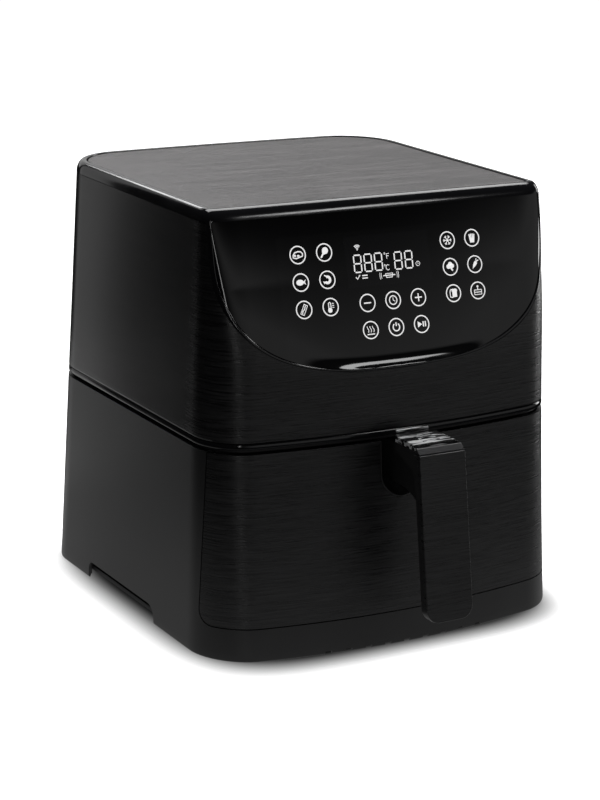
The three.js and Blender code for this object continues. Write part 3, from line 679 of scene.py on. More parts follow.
BAND_SECTION = [(BAND_BOTTOM, 1.0), (BAND_BOTTOM + 0.15, 0.5), (BAND_BOTTOM + 0.6, 0.12),
                (BAND_BOTTOM + 1.2, 0.0), (BAND_TOP - 1.2, 0.0), (BAND_TOP - 0.6, 0.12),
                (BAND_TOP - 0.15, 0.45), (BAND_TOP, 0.9), (BAND_TOP, 6.0), (BAND_BOTTOM, 6.0)]
piece("waist_band_hoop", hoop(BAND_SECTION), "housing", GLOSS, ["waist_band"])
COLLAR_SECTION = [(WAIST + 0.4, 3.8), (WAIST + 0.8, 3.4), (BAND_BOTTOM - 0.8, 3.4), (BAND_BOTTOM - 0.4, 3.8),
                  (BAND_BOTTOM - 0.4, 9.0), (WAIST + 0.4, 9.0)]
piece("waist_collar_hoop", hoop(COLLAR_SECTION), "housing", DARK, ["waist_collar"])
print("band from", round(BAND_BOTTOM, 1), "to", round(BAND_TOP, 1))

# %% [markdown]
# ## The panel's slope
#
# The touch panel lies in one sloping plane that slices the bowed front away. Drawing on it is easiest in
# its own axes: X across, Y up the slope, Z out of the glass. `PANEL` carries such a drawing to its place.
# Its outline is a superellipse below and straight above, and `setback` says how far the housing's curved
# surface has fallen away behind the plane at any point of it.

# %% Panel axes and outline
PANEL_ORIGIN = Vector((0, -127.24, 230))
PANEL_RUN = 0.2943
TILT = math.atan(PANEL_RUN)
UP_SLOPE, OUT = Vector((0, math.sin(TILT), math.cos(TILT))), Vector((0, -math.cos(TILT), math.sin(TILT)))
PANEL = Matrix(((1, 0, 0, 0), (0, UP_SLOPE.y, OUT.y, PANEL_ORIGIN.y), (0, UP_SLOPE.z, OUT.z, PANEL_ORIGIN.z),
                (0, 0, 0, 1)))
OPEN_HALF, OPEN_BOTTOM, BEND, POWER = 137.6, -26.6, 73.0, 2.8
EDGE_SOFTNESS, SOFT_SHARE = 12.0, 0.8
SLOPE_TOP = (RIM_BOTTOM - 0.04 - PANEL_ORIGIN.z) / math.cos(TILT)


def panel_y(z):
    return PANEL_ORIGIN.y + PANEL_RUN * (z - PANEL_ORIGIN.z)


def softened(y, z, front_inset=0.0):
    """The outline's y, cut off by the panel's plane with a rounded edge between the two."""
    depth = panel_y(z) - front_y(0, z)
    if depth <= 0:
        return y
    soft = min(EDGE_SOFTNESS, SOFT_SHARE * depth)
    plane = panel_y(z) + front_inset - soft ** 2 / (4 * depth)
    return (y + plane + np.sqrt((y - plane) ** 2 + soft ** 2)) / 2


def face_y(x, z):
    """Where the finished front stands: the housing or, where that is cut away, the panel."""
    return float(softened(front_y(x, z), z))


def bottom_edge(x, inset=0.0):
    """The height up the slope of the outline's round sweep at x."""
    share = min(abs(x) / (OPEN_HALF - inset), 1.0)
    return BEND - (BEND - OPEN_BOTTOM - inset) * (1 - share ** POWER) ** (1 / POWER)


def panel_outline(inset=0.0, top=SLOPE_TOP, steps=72):
    sweep = []
    for i in range(steps + 1):
        a = math.pi * i / steps
        x = -math.copysign(abs(math.cos(a)) ** (2 / POWER), math.cos(a)) * (OPEN_HALF - inset)
        sweep.append((x, BEND - (BEND - OPEN_BOTTOM - inset) * math.sin(a) ** (2 / POWER)))
    rise = np.linspace(BEND, top, 17)[1:]
    left = [(-OPEN_HALF + inset, w) for w in rise[::-1]]
    right = [(OPEN_HALF - inset, w) for w in rise]
    return left + sweep + right


def setback(x, w):
    """How far behind the panel's plane the finished front lies, measured square to the plane."""
    at, back = PANEL @ Vector((x, w, 0)), 0.0
    for _ in range(8):
        back = (face_y(x, at.z - back * OUT.z) - at.y) / -OUT.y
    return back


def extruded(points, low, high, matrix=Matrix.Identity(4)):
    """A flat outline drawn in X and Y, made solid between two heights."""
    bm = bmesh.new()
    face = bm.faces.new([bm.verts.new((x, y, low)) for x, y in points])
    top = bmesh.ops.extrude_face_region(bm, geom=[face])["geom"]
    raised = [v for v in top if isinstance(v, bmesh.types.BMVert)]
    bmesh.ops.translate(bm, verts=raised, vec=(0, 0, high - low))
    bmesh.ops.recalc_face_normals(bm, faces=bm.faces)
    bmesh.ops.transform(bm, matrix=matrix, verts=bm.verts)
    return bm


print("setback at the corner", round(setback(138, 80), 2), "low middle", round(setback(0, OPEN_BOTTOM), 2))

# %% [markdown]
# ## Upper housing
#
# The same sheet of rows, closed all round, gets its wall from Solidify. A prism with the panel's outline,
# pushed in square to the slope, then cuts the front open, and a small rounded block opens the back for the
# outlet grille.

# %% Upper housing
def upper_housing():
    low, high = drawn_box("upper_housing")[0].z, drawn_box("upper_housing")[1].z
    rows = [ring(low, 0.5), ring(low + 0.5, 0.05)] + [ring(z) for z in np.linspace(low + 1.4, high, 46)]
    rows = [[(x, float(softened(y, z)) if y < 0 else y, z) for x, y, z in row] for row in rows]
    return sheet(rows, closed=True, outward=(0, 0, 240))


def grille_opening():
    low, high = drawn_box("rear_grille")
    bm = block((low.x - 0.5, 130, low.z - 0.5), (high.x + 0.5, 175, high.z + 0.5))
    return rounded(bm, 6.0, 6, lambda a, b: abs(a.y - b.y) > 1)


PANEL_POCKET = 11.0
pocket = extruded(panel_outline(-0.3, 130), -PANEL_POCKET, 60, PANEL)
piece("upper_housing_shell", upper_housing(), "housing", BRUSHED_FRONT, ["upper_housing"], wall=3.0,
      cutters=[pocket, grille_opening()], round_off=0.35, steps=2, angle=40)
print("upper housing", len(PIECES["upper_housing_shell"].data.polygons), "faces")

# %% [markdown]
# ## Panel glass
#
# The glass is flat where the keys are. Along its upper sides it rolls back to meet the housing, which has
# curved away there, and along the bottom it turns up in a shallow cove. Both depend on the distance to the
# outline, so each vertex of a grid looks up the nearest outline point and the setback there.

# %% Panel glass
GLASS_INSET = 1.2
GLASS_BEHIND = 0.2
COVE_WIDTH, COVE_RISE, COVE_ENDS_AT = 8.0, 1.5, 2.2
GLASS_COLUMNS, GLASS_ROWS, ROW_CROWDING = 141, 45, 1.7


def glass_surface():
    edge = np.array(panel_outline(GLASS_INSET, steps=1600))
    backs = np.array([max(setback(x, w), 0.0) for x, w in edge])
    turns = np.linspace(-math.pi / 2, math.pi / 2, GLASS_COLUMNS)
    columns = [math.sin(t) * (OPEN_HALF - GLASS_INSET) for t in turns]
    rows = []
    for share in np.linspace(0, 1, GLASS_ROWS) ** ROW_CROWDING:
        row = []
        for x in columns:
            w = mix(bottom_edge(x, GLASS_INSET), SLOPE_TOP, share)
            z = PANEL_ORIGIN.z + w * math.cos(TILT)
            away = np.hypot(edge[:, 0] - x, edge[:, 1] - w)
            near = int(np.argmin(away))
            closeness = max(1 - float(away[near]) / COVE_WIDTH, 0.0)
            cove = COVE_RISE * closeness ** 2 * max(1 - backs[near] / COVE_ENDS_AT, 0.0)
            row.append((x, face_y(x, z) + GLASS_BEHIND - cove / math.cos(TILT), z))
        rows.append(row)
    return sheet(rows, outward=(0, 0, 260))


piece("control_panel_glass", glass_surface(), "housing", GLASS, ["control_panel"], wall=2.2, angle=50,
      even=False)

# %% [markdown]
# ## Bezel
#
# A thin polished bead seals the glass into the housing. Its rows follow the outline at growing insets, each
# at its own height above the housing's surface, and the last row meets the first. Its two upper ends run on
# behind the rim, so that no gap shows at the corners.

# %% Bezel bead
BEAD = [(-1.3, -2.6), (-1.3, 0.02), (-1.15, 0.3), (-0.6, 0.62), (0.1, 0.78), (0.7, 0.7), (1.1, 0.35),
        (1.2, -0.1), (1.2, -2.6)]
BEAD_TOP = SLOPE_TOP + 1.6


def bezel():
    rows = []
    for inset, height in [*BEAD, BEAD[0]]:
        row = []
        for (x, w), middle in zip(panel_outline(inset, BEAD_TOP, 160), panel_outline(0.0, BEAD_TOP, 160)):
            back = max(min(setback(x, w), setback(*middle) + 2.5), -0.3)
            row.append(PANEL @ Vector((x, w, height - back)))
        rows.append(row)
    return capped(sheet(rows, closed=True))


piece("panel_bezel_bead", bezel(), "housing", GLOSS, ["panel_bezel"])

# %% [markdown]
# ## Rim and lid
#
# The rim rounds over from the sides and from the panel's plane to the top. Its outline is the housing's,
# cut by the panel's plane with the same soft edge as below, so that the glass runs on into it. The lid
# plate lies in the rim's pocket with a fine groove all round.

# %% Rim and lid
RIM_ROLL, RIM_FRONT_ROLL = 4.8, 4.6
RIM_TURNS = (0, 10, 20, 30, 40, 50, 60, 68, 76, 83, 90)
POCKET_FLOOR = 318.4


def lid_ring(z, inset, front_inset):
    points = half_outline(z, inset)
    points[:, 1] = softened(points[:, 1], z, front_inset)
    points[0, 0] = points[-1, 0] = 0.0
    right = spaced(points, 150)
    return [(x, y, z) for x, y in np.vstack([right, mirrored(right)[1:]])]


def top_rim():
    rise = HEIGHT - RIM_BOTTOM
    rows = []
    for turn in np.radians(RIM_TURNS):
        rows.append((RIM_BOTTOM + rise * math.sin(turn), RIM_ROLL * (1 - math.cos(turn)),
                     RIM_FRONT_ROLL * (1 - math.cos(turn))))
    rows += [(HEIGHT, 6.7, 5.0), (HEIGHT - 0.15, 7.2, 5.3), (HEIGHT - 0.6, 7.4, 5.4),
             (POCKET_FLOOR, 7.4, 5.4), (POCKET_FLOOR, 14, 12), (RIM_BOTTOM, 14, 12)]
    return sheet([lid_ring(*row) for row in [*rows, rows[0]]], closed=True)


def top_plate():
    low, high = drawn_box("top_plate")[0].z, drawn_box("top_plate")[1].z
    rows = [(low, 8.4, 6.4), (high - 0.7, 8.4, 6.4), (high - 0.3, 8.55, 6.55), (high - 0.08, 8.9, 6.9),
            (high, 9.4, 7.4)]
    return capped(sheet([lid_ring(*row) for row in rows], closed=True, outward=(0, 0, high - 1)))


piece("top_rim_ring", top_rim(), "housing", GLOSS, ["top_rim"], angle=50)
piece("lid_plate", top_plate(), "housing", BRUSHED_LID, ["top_plate"], angle=50)
print("lid at", round(HEIGHT, 1))

# %% [markdown]
# ## Drawer front and recess
#
# The drawer front is the missing part of the lower housing's sheet, one seam smaller. A block whose two
# lower edges are rounded right round cuts the recess for the handle's neck. The recess itself is a cup: a
# fine raised rim, then a cove that falls away towards the neck.

# %% Drawer front
FRONT_EDGE = SEAM_Y - SEAM_GAP
FRONT_CORNER = CORNER - SEAM_GAP
RECESS_RADIUS, RECESS_Z = 18.5, 128.0
FRONT_TOP = WAIST - 0.4


def drawer_front():
    corner = [DRAWER_BOTTOM + FRONT_CORNER * (1 - math.cos(math.radians(a))) for a in (0, *CORNER_TURNS)]
    rise = list(np.linspace(DRAWER_BOTTOM + FRONT_CORNER, FRONT_TOP, 26)[1:])
    rows = [front_row(z, opening_edge(z, DRAWER_BOTTOM, FRONT_EDGE, FRONT_CORNER)) for z in corner + rise]
    return sheet(rows, outward=(0, 0, 80))


def recess_tool(radius):
    bm = block((-radius, -170, RECESS_Z - radius), (radius, -100, WAIST + 30))
    return rounded(bm, radius - 0.02, 20, lambda a, b: max(a.z, b.z) < RECESS_Z and abs(a.y - b.y) > 1)


piece("drawer_front_skin", drawer_front(), "drawer", BRUSHED_FRONT, ["drawer_front"], wall=3.0,
      cutters=[recess_tool(RECESS_RADIUS + 0.25)], round_off=0.5, steps=3, angle=45)

# %% Recess cup
NECK_HALF = 7.5
CUP_DEPTH = 17.0


def recess_line(inset):
    radius = RECESS_RADIUS - inset
    turn = [(-radius * math.cos(a), RECESS_Z - radius * math.sin(a)) for a in np.linspace(0, math.pi, 41)]
    rise = np.linspace(FRONT_TOP, RECESS_Z, 11)[:-1]
    return [(-radius, z) for z in rise] + turn + [(radius, z) for z in rise[::-1]]


def recess_cup():
    rim = [(0.0, 2.6), (0.0, 0.0), (0.12, -0.35), (0.4, -0.55), (0.7, -0.5), (0.95, -0.2), (1.1, 0.3)]
    reach = RECESS_RADIUS - NECK_HALF + 0.4 - rim[-1][0]
    cove = []
    for a in np.linspace(0, 90, 16)[1:]:
        turn = math.radians(a)
        cove.append((rim[-1][0] + reach * (1 - math.cos(turn)), rim[-1][1] + CUP_DEPTH * math.sin(turn)))
    rows = []
    for inset, depth in rim + cove:
        rows.append([(x, front_y(x, z) + depth, z) for x, z in recess_line(inset)])
    bm = sheet(rows)
    if sum(f.normal.y * f.calc_area() for f in bm.faces) > 0:
        bmesh.ops.reverse_faces(bm, faces=bm.faces)
    return bm


piece("recess_cup_liner", recess_cup(), "drawer", SATIN, ["recess_cup"], wall=1.2, angle=60)
print("recess", RECESS_RADIUS * 2, "mm wide")

# %% [markdown]
# ## Handle
#
# The grip is two bars: a brushed one in front, and a moulded shell behind that carries the head and the
# neck. Both lean outwards. The bars are blocks with two rounded lower corners; the head and the neck are
# side views pulled across, joined to the shell with booleans, after which one bevel rounds every edge.

# %% Grip
GRIP_TOP = Vector((0, -192, 158))
GRIP_LEAN = math.atan2(19, 122)
GRIP = Matrix.Translation(GRIP_TOP) @ Matrix.Rotation(-GRIP_LEAN, 4, "X")
GRIP_HALF, GRIP_LENGTH, BAR_BELOW_TOP = 19.0, 123.0, 3.0


def bar(half, front, back, length, radius):
    """An upright bar in the grip's own axes, with its two lower corners rounded, carried to its lean."""
    bm = block((-half, front, -length), (half, back, -BAR_BELOW_TOP))
    rounded(bm, radius, 12, lambda a, b: abs(a.y - b.y) > 1 and a.z < -50)
    bmesh.ops.transform(bm, matrix=GRIP, verts=bm.verts)
    return bm


def swept(start, control, end, steps=12):
    """Points of a quadratic curve, both ends included."""
    points = []
    for t in np.linspace(0, 1, steps + 1):
        weights = (1 - t) ** 2, 2 * t * (1 - t), t * t
        points.append(tuple(sum(w * p[i] for w, p in zip(weights, (start, control, end))) for i in (0, 1)))
    return points


SIDE_VIEW = Matrix(((0, 0, 1, 0), (1, 0, 0, 0), (0, 1, 0, 0), (0, 0, 0, 1)))


def side_extrusion(points, half):
    """A side view drawn as (y, z), made `half` wide each way."""
    return extruded(points, -half, half, SIDE_VIEW)


piece("handle_front_bar", bar(GRIP_HALF, 0, 4, GRIP_LENGTH, 10.0), "drawer", BRUSHED_FRONT, ["handle_front"],
      round_off=0.7, steps=3, angle=40)

# %% Back shell, head and neck
def handle_back():
    head = [(-187, 155.6), (-157, 155.6), (-157, 150)] + swept((-157, 150), (-170, 147), (-185.6, 138))[1:]
    neck = [(-186, 154), (-146, 154), (-140, WAIST - 2.5), (-104.5, WAIST - 2.5), (-104.5, 120), (-150, 120)]
    neck += swept((-150, 120), (-178, 118), (-193, 88), 16)[1:]
    web = side_extrusion(neck, NECK_HALF)
    rounded(web, 3.0, 4, lambda a, b: abs(a.x - b.x) < 0.1 and all(p.z < 121 and p.y > -192 for p in (a, b)))
    return bar(GRIP_HALF - 0.6, 4.5, 8.9, GRIP_LENGTH - 0.8, 9.4), [side_extrusion(head, GRIP_HALF - 2), web]


shell_bar, head_and_neck = handle_back()
BUTTON_Y, SLOT_HALF = -177, 3
button_well = block((-9.4, -184.5, 149), (9.4, -169.5, 170))
latch_slots = [block((-SLOT_HALF, -173.4, 140), (SLOT_HALF, -166, 154)),
               block((-SLOT_HALF, -173.4, 138.4), (SLOT_HALF, -139, 147.6)),
               block((-SLOT_HALF, -142, 141), (SLOT_HALF, -100, 149.2))]
spring_well = rod(4.6, (0, BUTTON_Y, 140.2), (0, BUTTON_Y, 152))
piece("handle_back_shell", shell_bar, "drawer", SATIN, ["handle_back"], joined=head_and_neck,
      cutters=[button_well, *latch_slots, spring_well], round_off=0.6, steps=3, angle=35)

CAP = [(-191.6, 155.6), (-187.6, 159.2), (-186.2, 159.2), (-186.2, 156.0), (-187.6, 155.9)]
piece("handle_cap_trim", side_extrusion(CAP, GRIP_HALF - 0.4), "drawer", GREY, ["handle_cap"], round_off=0.35,
      steps=3, angle=20)
print("grip leans", round(math.degrees(GRIP_LEAN), 1), "degrees")

# %% [markdown]
# ## Guard and release button
#
# The guard is one clear moulding: a plate that slides on two runners, a tall ridge to push it by, a lip in
# front and three raised chevrons that show which way it goes. The button below it has a dished top.

# %% Clear guard
GUARD_FLOOR = 158.6
CHEVRON_HALF, CHEVRON_POINT, CHEVRON_BAR = 7, 3.2, 1.7


def clear_guard():
    low, high = drawn_box("button_guard")
    half, front, rear, floor = high.x, low.y, high.y, GUARD_FLOOR
    plate = block((-half, front, floor), (half, rear, floor + 1.8))
    ridge = block((-half, rear - 2.4, floor + 0.4), (half - 8, rear, high.z))
    lip = block((-half, front, floor - 0.2), (half, front + 1.8, floor + 2.6))
    runners = [block((x, front + 1, low.z), (x + 1.5, rear, floor + 1)) for x in (-half, half - 1.5)]
    chevrons = []
    for y in (-178.5, -172.5, -166.5):
        lower = [(-CHEVRON_HALF, y), (0, y + CHEVRON_POINT), (CHEVRON_HALF, y)]
        upper = [(x, along + CHEVRON_BAR) for x, along in lower[::-1]]
        chevrons.append(extruded(lower + upper, floor + 1.2, floor + 2.5))
    return plate, [ridge, lip, *runners, *chevrons]


guard_plate, guard_parts = clear_guard()
piece("button_guard_moulding", guard_plate, "guard", CLEAR, ["button_guard"], joined=guard_parts,
      round_off=0.35, steps=3, angle=35)


CAP_BOTTOM, DISH_RADIUS, DISH_DEPTH = 153.6, 30, 0.9


def release_button():
    low, high = drawn_box("release_button")
    cap = block((low.x, low.y, CAP_BOTTOM), (high.x, high.y, high.z))
    rounded(cap, 2.2, 5, lambda a, b: abs(a.z - b.z) > 1)
    stem = rod(3.0, (0, BUTTON_Y, low.z), (0, BUTTON_Y, CAP_BOTTOM + 0.9))
    dish = bmesh.new()
    centre = Vector((0, (low.y + high.y) / 2, high.z + DISH_RADIUS - DISH_DEPTH))
    bmesh.ops.create_uvsphere(dish, u_segments=48, v_segments=24, radius=DISH_RADIUS,
                              matrix=Matrix.Translation(centre))
    return cap, stem, dish


button_cap, button_stem, button_dish = release_button()
piece("release_button_cap", button_cap, "button", SATIN, ["release_button"], joined=[button_stem],
      cutters=[button_dish], round_off=0.4, steps=3, angle=35)
print("guard", round(drawn_box("button_guard")[1].x * 2, 1), "mm wide")

# %% [markdown]
# ## The two baskets
#
# The pan and the basket that lifts out of it are pressed and coated sheet. Each is one skin that runs up
# the outside, over a rolled lip and down the inside, drawn as rounded rectangles at growing heights; the
# two ends are filled with a floor. The basket's floor is then drilled with one field of rods.

# %% Tubs
def rounded_ring(half, front, back, corner, z, inset=0.0, steps=12):
    """A level rounded rectangle as a closed row of points."""
    half, front, back, radius = half - inset, front + inset, back - inset, max(corner - inset, 1.0)
    corners = ((half - radius, back - radius, 0), (radius - half, back - radius, 90),
               (radius - half, front + radius, 180), (half - radius, front + radius, 270))
    points = [p for cx, cy, turn in corners for p in arc(cx, cy, radius, turn, turn + 90, steps)]
    return [(x, y, z) for x, y in [*points, points[0]]]


def tub(box, profile):
    """A closed skin through (height, inset) rows of one rounded rectangle."""
    return capped(sheet([rounded_ring(*box, z, inset) for z, inset in profile], closed=True))


def fillet(z, inset, radius, steps=6):
    """Heights and insets of a rounded lower edge whose outermost point stands at `inset`."""
    turns = [math.radians(90 * i / steps) for i in range(steps + 1)]
    return [(z + radius * (1 - math.cos(t)), inset + radius * (1 - math.sin(t))) for t in turns]


def tub_profile(node, wall, outer_radius, inner_radius, lip):
    """Rows up the outside, over the lip, given as (depth below the top, inset), and down the inside."""
    low, high = drawn_box(node)[0].z, drawn_box(node)[1].z
    over = [(high - depth, inset) for depth, inset in [*lip, (1.2, wall)]]
    return fillet(low, 0, outer_radius) + over + fillet(low + wall, wall, inner_radius)[::-1]


def holes(radius, places, z, sides=32):
    """Level rods through a tub's front wall."""
    bm = bmesh.new()
    for x in places:
        add_rod(bm, radius, (x, FRONT_WALL[0], z), (x, FRONT_WALL[1], z), sides)
    return bm


PAN, PAN_WALL = (117.0, -105.6, 110.0, 34.0), 1.5
PAN_LIP = [(3.2, 0), (2.4, 0), (1.9, -0.6), (1.7, -1.4), (1.6, -3.0), (1.2, -3.7), (0.7, -3.7), (0.2, -3.0),
           (0, -1.4), (0, 0.6), (0.4, 1.4)]
FRONT_WALL = (-125, -95)
DRAWER_SCREW_X, DRAWER_SCREW_Z = 70, 96
neck_slot = block((-NECK_HALF - 1, FRONT_WALL[0], 118), (NECK_HALF + 1, FRONT_WALL[1], 160))
screw_holes = holes(2.4, (-DRAWER_SCREW_X, DRAWER_SCREW_X), DRAWER_SCREW_Z)
front_trim = block((-200, -140, 0), (200, PAN[1] - 0.1, 200))
piece("outer_basket_pan", tub(PAN, tub_profile("outer_basket", PAN_WALL, 7, 6, PAN_LIP)), "drawer", COAT,
      ["outer_basket"], cutters=[neck_slot, screw_holes, front_trim], angle=40)

# %% Perforated basket
BASKET, BASKET_WALL = (110.5, -99.0, 104.0, 30.0), 1.2
BASKET_LIP = [(2.4, 0), (1.6, -0.2), (1.3, -0.8), (1.0, -1.5), (0.5, -1.6), (0.1, -1.2), (0, -0.4), (0, 0.4),
              (0.4, 0.9)]
HOLE_PITCH, HOLE_RADIUS, HOLE_FIELD, MISSING_CORNER = 12.8, 3.1, 7, 3
BRACKET_SCREW_X, BRACKET_SCREW_Z = 5.2, 136
floor_z, drill = drawn_box("inner_basket")[0].z, bmesh.new()
for i in range(-HOLE_FIELD, HOLE_FIELD + 1):
    for j in range(-HOLE_FIELD, HOLE_FIELD + 1):
        if abs(i) + abs(j) <= HOLE_FIELD * 2 - MISSING_CORNER:
            x, y = i * HOLE_PITCH, j * HOLE_PITCH + (BASKET[1] + BASKET[2]) / 2
            add_rod(drill, HOLE_RADIUS, (x, y, floor_z - 4), (x, y, floor_z + 8), 14)
bracket_holes = holes(1.9, (-BRACKET_SCREW_X, BRACKET_SCREW_X), BRACKET_SCREW_Z, 20)
piece("inner_basket_tub", tub(BASKET, tub_profile("inner_basket", BASKET_WALL, 6, 5, BASKET_LIP)), "drawer",
      COAT, ["inner_basket"], cutters=[drill, bracket_holes], angle=40)
print("basket", len(PIECES["inner_basket_tub"].data.polygons), "faces")

# %% [markdown]
# ## Heater, fans, feet and screws
#
# The heater is a curve with a round bevel. Fans are spun hubs and discs with blades joined on. Feet and
# screws are spun too, and each screw head takes a cross-shaped driver recess.

# %% Heater and fans
FAN_Y = middle("motor_shaft").y


def tube(points, radius, roundness=3):
    """A round tube along a line of points."""
    curve = bpy.data.curves.new("tube", "CURVE")
    curve.dimensions, curve.use_fill_caps = "3D", True
    curve.bevel_depth, curve.bevel_resolution = radius, roundness
    spline = curve.splines.new("POLY")
    spline.points.add(len(points) - 1)
    for point, place in zip(spline.points, points):
        point.co = (*place, 1)
    drawn = bpy.data.objects.new("tube", curve)
    bm = bmesh.new()
    bm.from_mesh(bpy.data.meshes.new_from_object(drawn))
    bpy.data.objects.remove(drawn)
    bmesh.ops.remove_doubles(bm, verts=bm.verts, dist=1e-4)
    bmesh.ops.recalc_face_normals(bm, faces=bm.faces)
    return bm


COIL_TURNS, COIL_INNER, COIL_OUTER, COIL_RADIUS = 2.25, 44.0, 84.0, 3.3
coil_z = middle("heating_element").z
coil = []
for t in np.linspace(0, 1, 200):
    angle, radius = -math.pi / 2 + t * COIL_TURNS * 2 * math.pi, mix(COIL_INNER, COIL_OUTER, t)
    coil.append((radius * math.cos(angle), FAN_Y + radius * math.sin(angle), coil_z))
piece("heating_coil", tube(coil, COIL_RADIUS), "housing", HEATER, ["heating_element"], angle=60)


BLADES, BLADE_HALF, BORE_RADIUS = 8, 0.7, 4.3


def fan(low, high, hub, radius, pitch):
    """A disc with a hub and pitched blades, bored for the shaft."""
    disc = [(0, high), (radius - 0.3, high), (radius, high - 0.3), (radius, high - 0.9),
            (radius - 0.3, high - 1.2), (hub + 3, high - 1.2), (hub + 0.8, high - 2.2), (hub, high - 4),
            (hub, low + 1.2), (hub - 1.2, low), (0, low)]
    vanes = bmesh.new()
    for i in range(BLADES):
        turn = Matrix.Translation((0, FAN_Y, 0)) @ Matrix.Rotation(i * 2 * math.pi / BLADES, 4, "Z")
        lean = Matrix.Translation(((hub + radius) / 2 - 1, 0, 0)) @ Matrix.Rotation(pitch, 4, "Z")
        reach = (radius - hub) / 2 - 1.5
        add_block(vanes, (-reach, -BLADE_HALF, low), (reach, BLADE_HALF, high - 0.6), turn @ lean)
    bore = rod(BORE_RADIUS, (0, FAN_Y, low - 5), (0, FAN_Y, high + 5))
    return spun(disc, (0, FAN_Y, 0), 72), vanes, bore


for node, name, look, hub, radius, pitch in (("hot_air_fan", "hot_air_wheel", STEEL, 12, 74, 0.25),
                                             ("cooling_fan", "cooling_wheel", DARK, 11, 52, 0.3)):
    wheel, vanes, bore = fan(drawn_box(node)[0].z, drawn_box(node)[1].z, hub, radius, pitch)
    piece(name, wheel, "fan_set", look, [node], joined=[vanes], cutters=[bore], round_off=0.2, angle=35)

# %% Feet and screws
FOOT = [(0, 0.3), (5, 0.3), (5.6, 0), (8.6, 0), (9.8, 0.6), (10.5, 1.9), (10.6, 4), (10.3, 8), (9.6, 12.2),
        (0, 12.2)]
CORNERS = ("front_left", "front_right", "back_left", "back_right")
for place in CORNERS:
    at = middle("foot_" + place)
    piece("rubber_foot_" + place, spun(FOOT, (at.x, at.y, 0), 40), "housing", RUBBER,
          ["foot_" + place], angle=40)

CROSS_DEPTH, CROSS_WIDTH = 1.3, 1.0


def screw(name, node, body, head, shank, length, into):
    """A pan-head screw whose head stands at the node's end that `into` points away from."""
    low, high = drawn_box(node)
    at, into = middle(node), Vector(into)
    start = at - into * abs((high - low).dot(into)) / 2
    profile = [(0, 0), (head * 0.55, 0.12), (head * 0.85, 0.55), (head, 1.3), (head, 1.9), (shank, 2.0),
               (shank, length - 1), (shank * 0.6, length), (0, length)]
    turn = Matrix.Translation(start) @ into.to_track_quat("Z", "Y").to_matrix().to_4x4()
    long, short = head * 1.1 / 2, CROSS_WIDTH / 2
    slots = [block((-long, -short, -1), (long, short, CROSS_DEPTH)),
             block((-short, -long, -1), (short, long, CROSS_DEPTH * 0.9))]
    bm = spun(profile, sides=28)
    for drawn in (bm, *slots):
        bmesh.ops.transform(drawn, matrix=turn, verts=drawn.verts)
    piece(name, bm, body, STEEL, [node], cutters=slots, angle=40)


for i in range(1, 5):
    screw(f"base_pan_screw_{i}", f"base_screw_{i}", "housing", 4.1, 2.0, 14.0, (0, 0, 1))
for side in ("left", "right"):
    screw(f"drawer_pan_screw_{side}", f"drawer_screw_{side}", "drawer", 4.1, 2.0, 10.0, (0, -1, 0))
    screw(f"handle_pan_screw_{side}", f"handle_screw_{side}", "drawer", 3.3, 1.6, 9.0, (0, -1, 0))
print("screws and feet", len([name for name in PIECES if "screw" in name or "foot" in name]))

# %% [markdown]
# ## Mouldings and pressings with their edges broken
#
# These nodes already have the right shape, but every edge on them is knife-sharp. A copy of each is merged,
# its flat facets are dissolved back into whole faces, and a small bevel gives the edges a radius that
# catches the light.

# %% Broken edges
def refined(node, look, round_off):
    bm = bmesh.new()
    bm.from_mesh(frame["nodes"][node].data)
    bmesh.ops.transform(bm, matrix=TO_ROW.inverted(), verts=bm.verts)
    bmesh.ops.remove_doubles(bm, verts=bm.verts, dist=1e-3)
    bmesh.ops.dissolve_limit(bm, angle_limit=math.radians(0.6), verts=bm.verts, edges=bm.edges)
    body = next(body for body, nodes in frame["record"]["behaviour"]["bodies"].items() if node in nodes)
    piece(node + "_finished", bm, body, look, [node], round_off=round_off, angle=28)


EDGES = [("bay_frame", DARK, 0.5), ("drawer_backing", DARK, 0.4), ("base_plate", DARK, 0.6),
         ("basket_bracket", STEEL, 0.3), ("door_switch", DARK, 0.5), ("left_rail", STEEL, 0.4),
         ("right_rail", STEEL, 0.4), ("cooking_chamber", STEEL, 0.3), ("heat_reflector", STEEL, 0.2),
         ("cord_gland", RUBBER, 0.5), ("rear_grille", DARK, 0.35), ("latch_lever", STEEL, 0.25),
         ("motor_body", MOTOR, 0.8), ("motor_bracket", STEEL, 0.4), ("fan_nut", STEEL, 0.4),
         ("temperature_probe", STEEL, 0.3), ("thermal_fuse", RED, 0.5), ("display_module", DARK, 0.8)]
EDGES += [("basket_bumper_" + place, RUBBER, 0.8) for place in CORNERS]
for node, look, round_off in EDGES:
    refined(node, look, round_off)
print("pieces so far", len(PIECES))

# %% [markdown]
# ## Printed marks
#
# The keys are rings with small white signs, and the display has round-ended segments. Thin lines are curves
# with a round bevel, which are made a mesh and pressed almost flat; filled signs are outlines pulled up a
# hair. Every sign here is a plain one: food, heat, time, power, more, less, start.

# %% Lines and filled shapes on the glass
MARK_HEIGHT = 0.10


def circle(radius, x=0.0, y=0.0, first=0.0, last=360.0, steps=28, tall=1.0):
    angles = np.radians(np.linspace(first, last, steps + 1))
    return [(x + radius * math.cos(a), y + tall * radius * math.sin(a)) for a in angles]


def disc(radius, x=0.0, y=0.0, steps=28, tall=1.0):
    """A filled round shape's outline: a circle without its repeated last point."""
    return circle(radius, x, y, steps=steps, tall=tall)[:-1]


def loop(points):
    return [*points, points[0]]


def turned(points, angle, dx=0.0, dy=0.0, scale=1.0):
    c, s = math.cos(math.radians(angle)) * scale, math.sin(math.radians(angle)) * scale
    return [(x * c - y * s + dx, x * s + y * c + dy) for x, y in points]


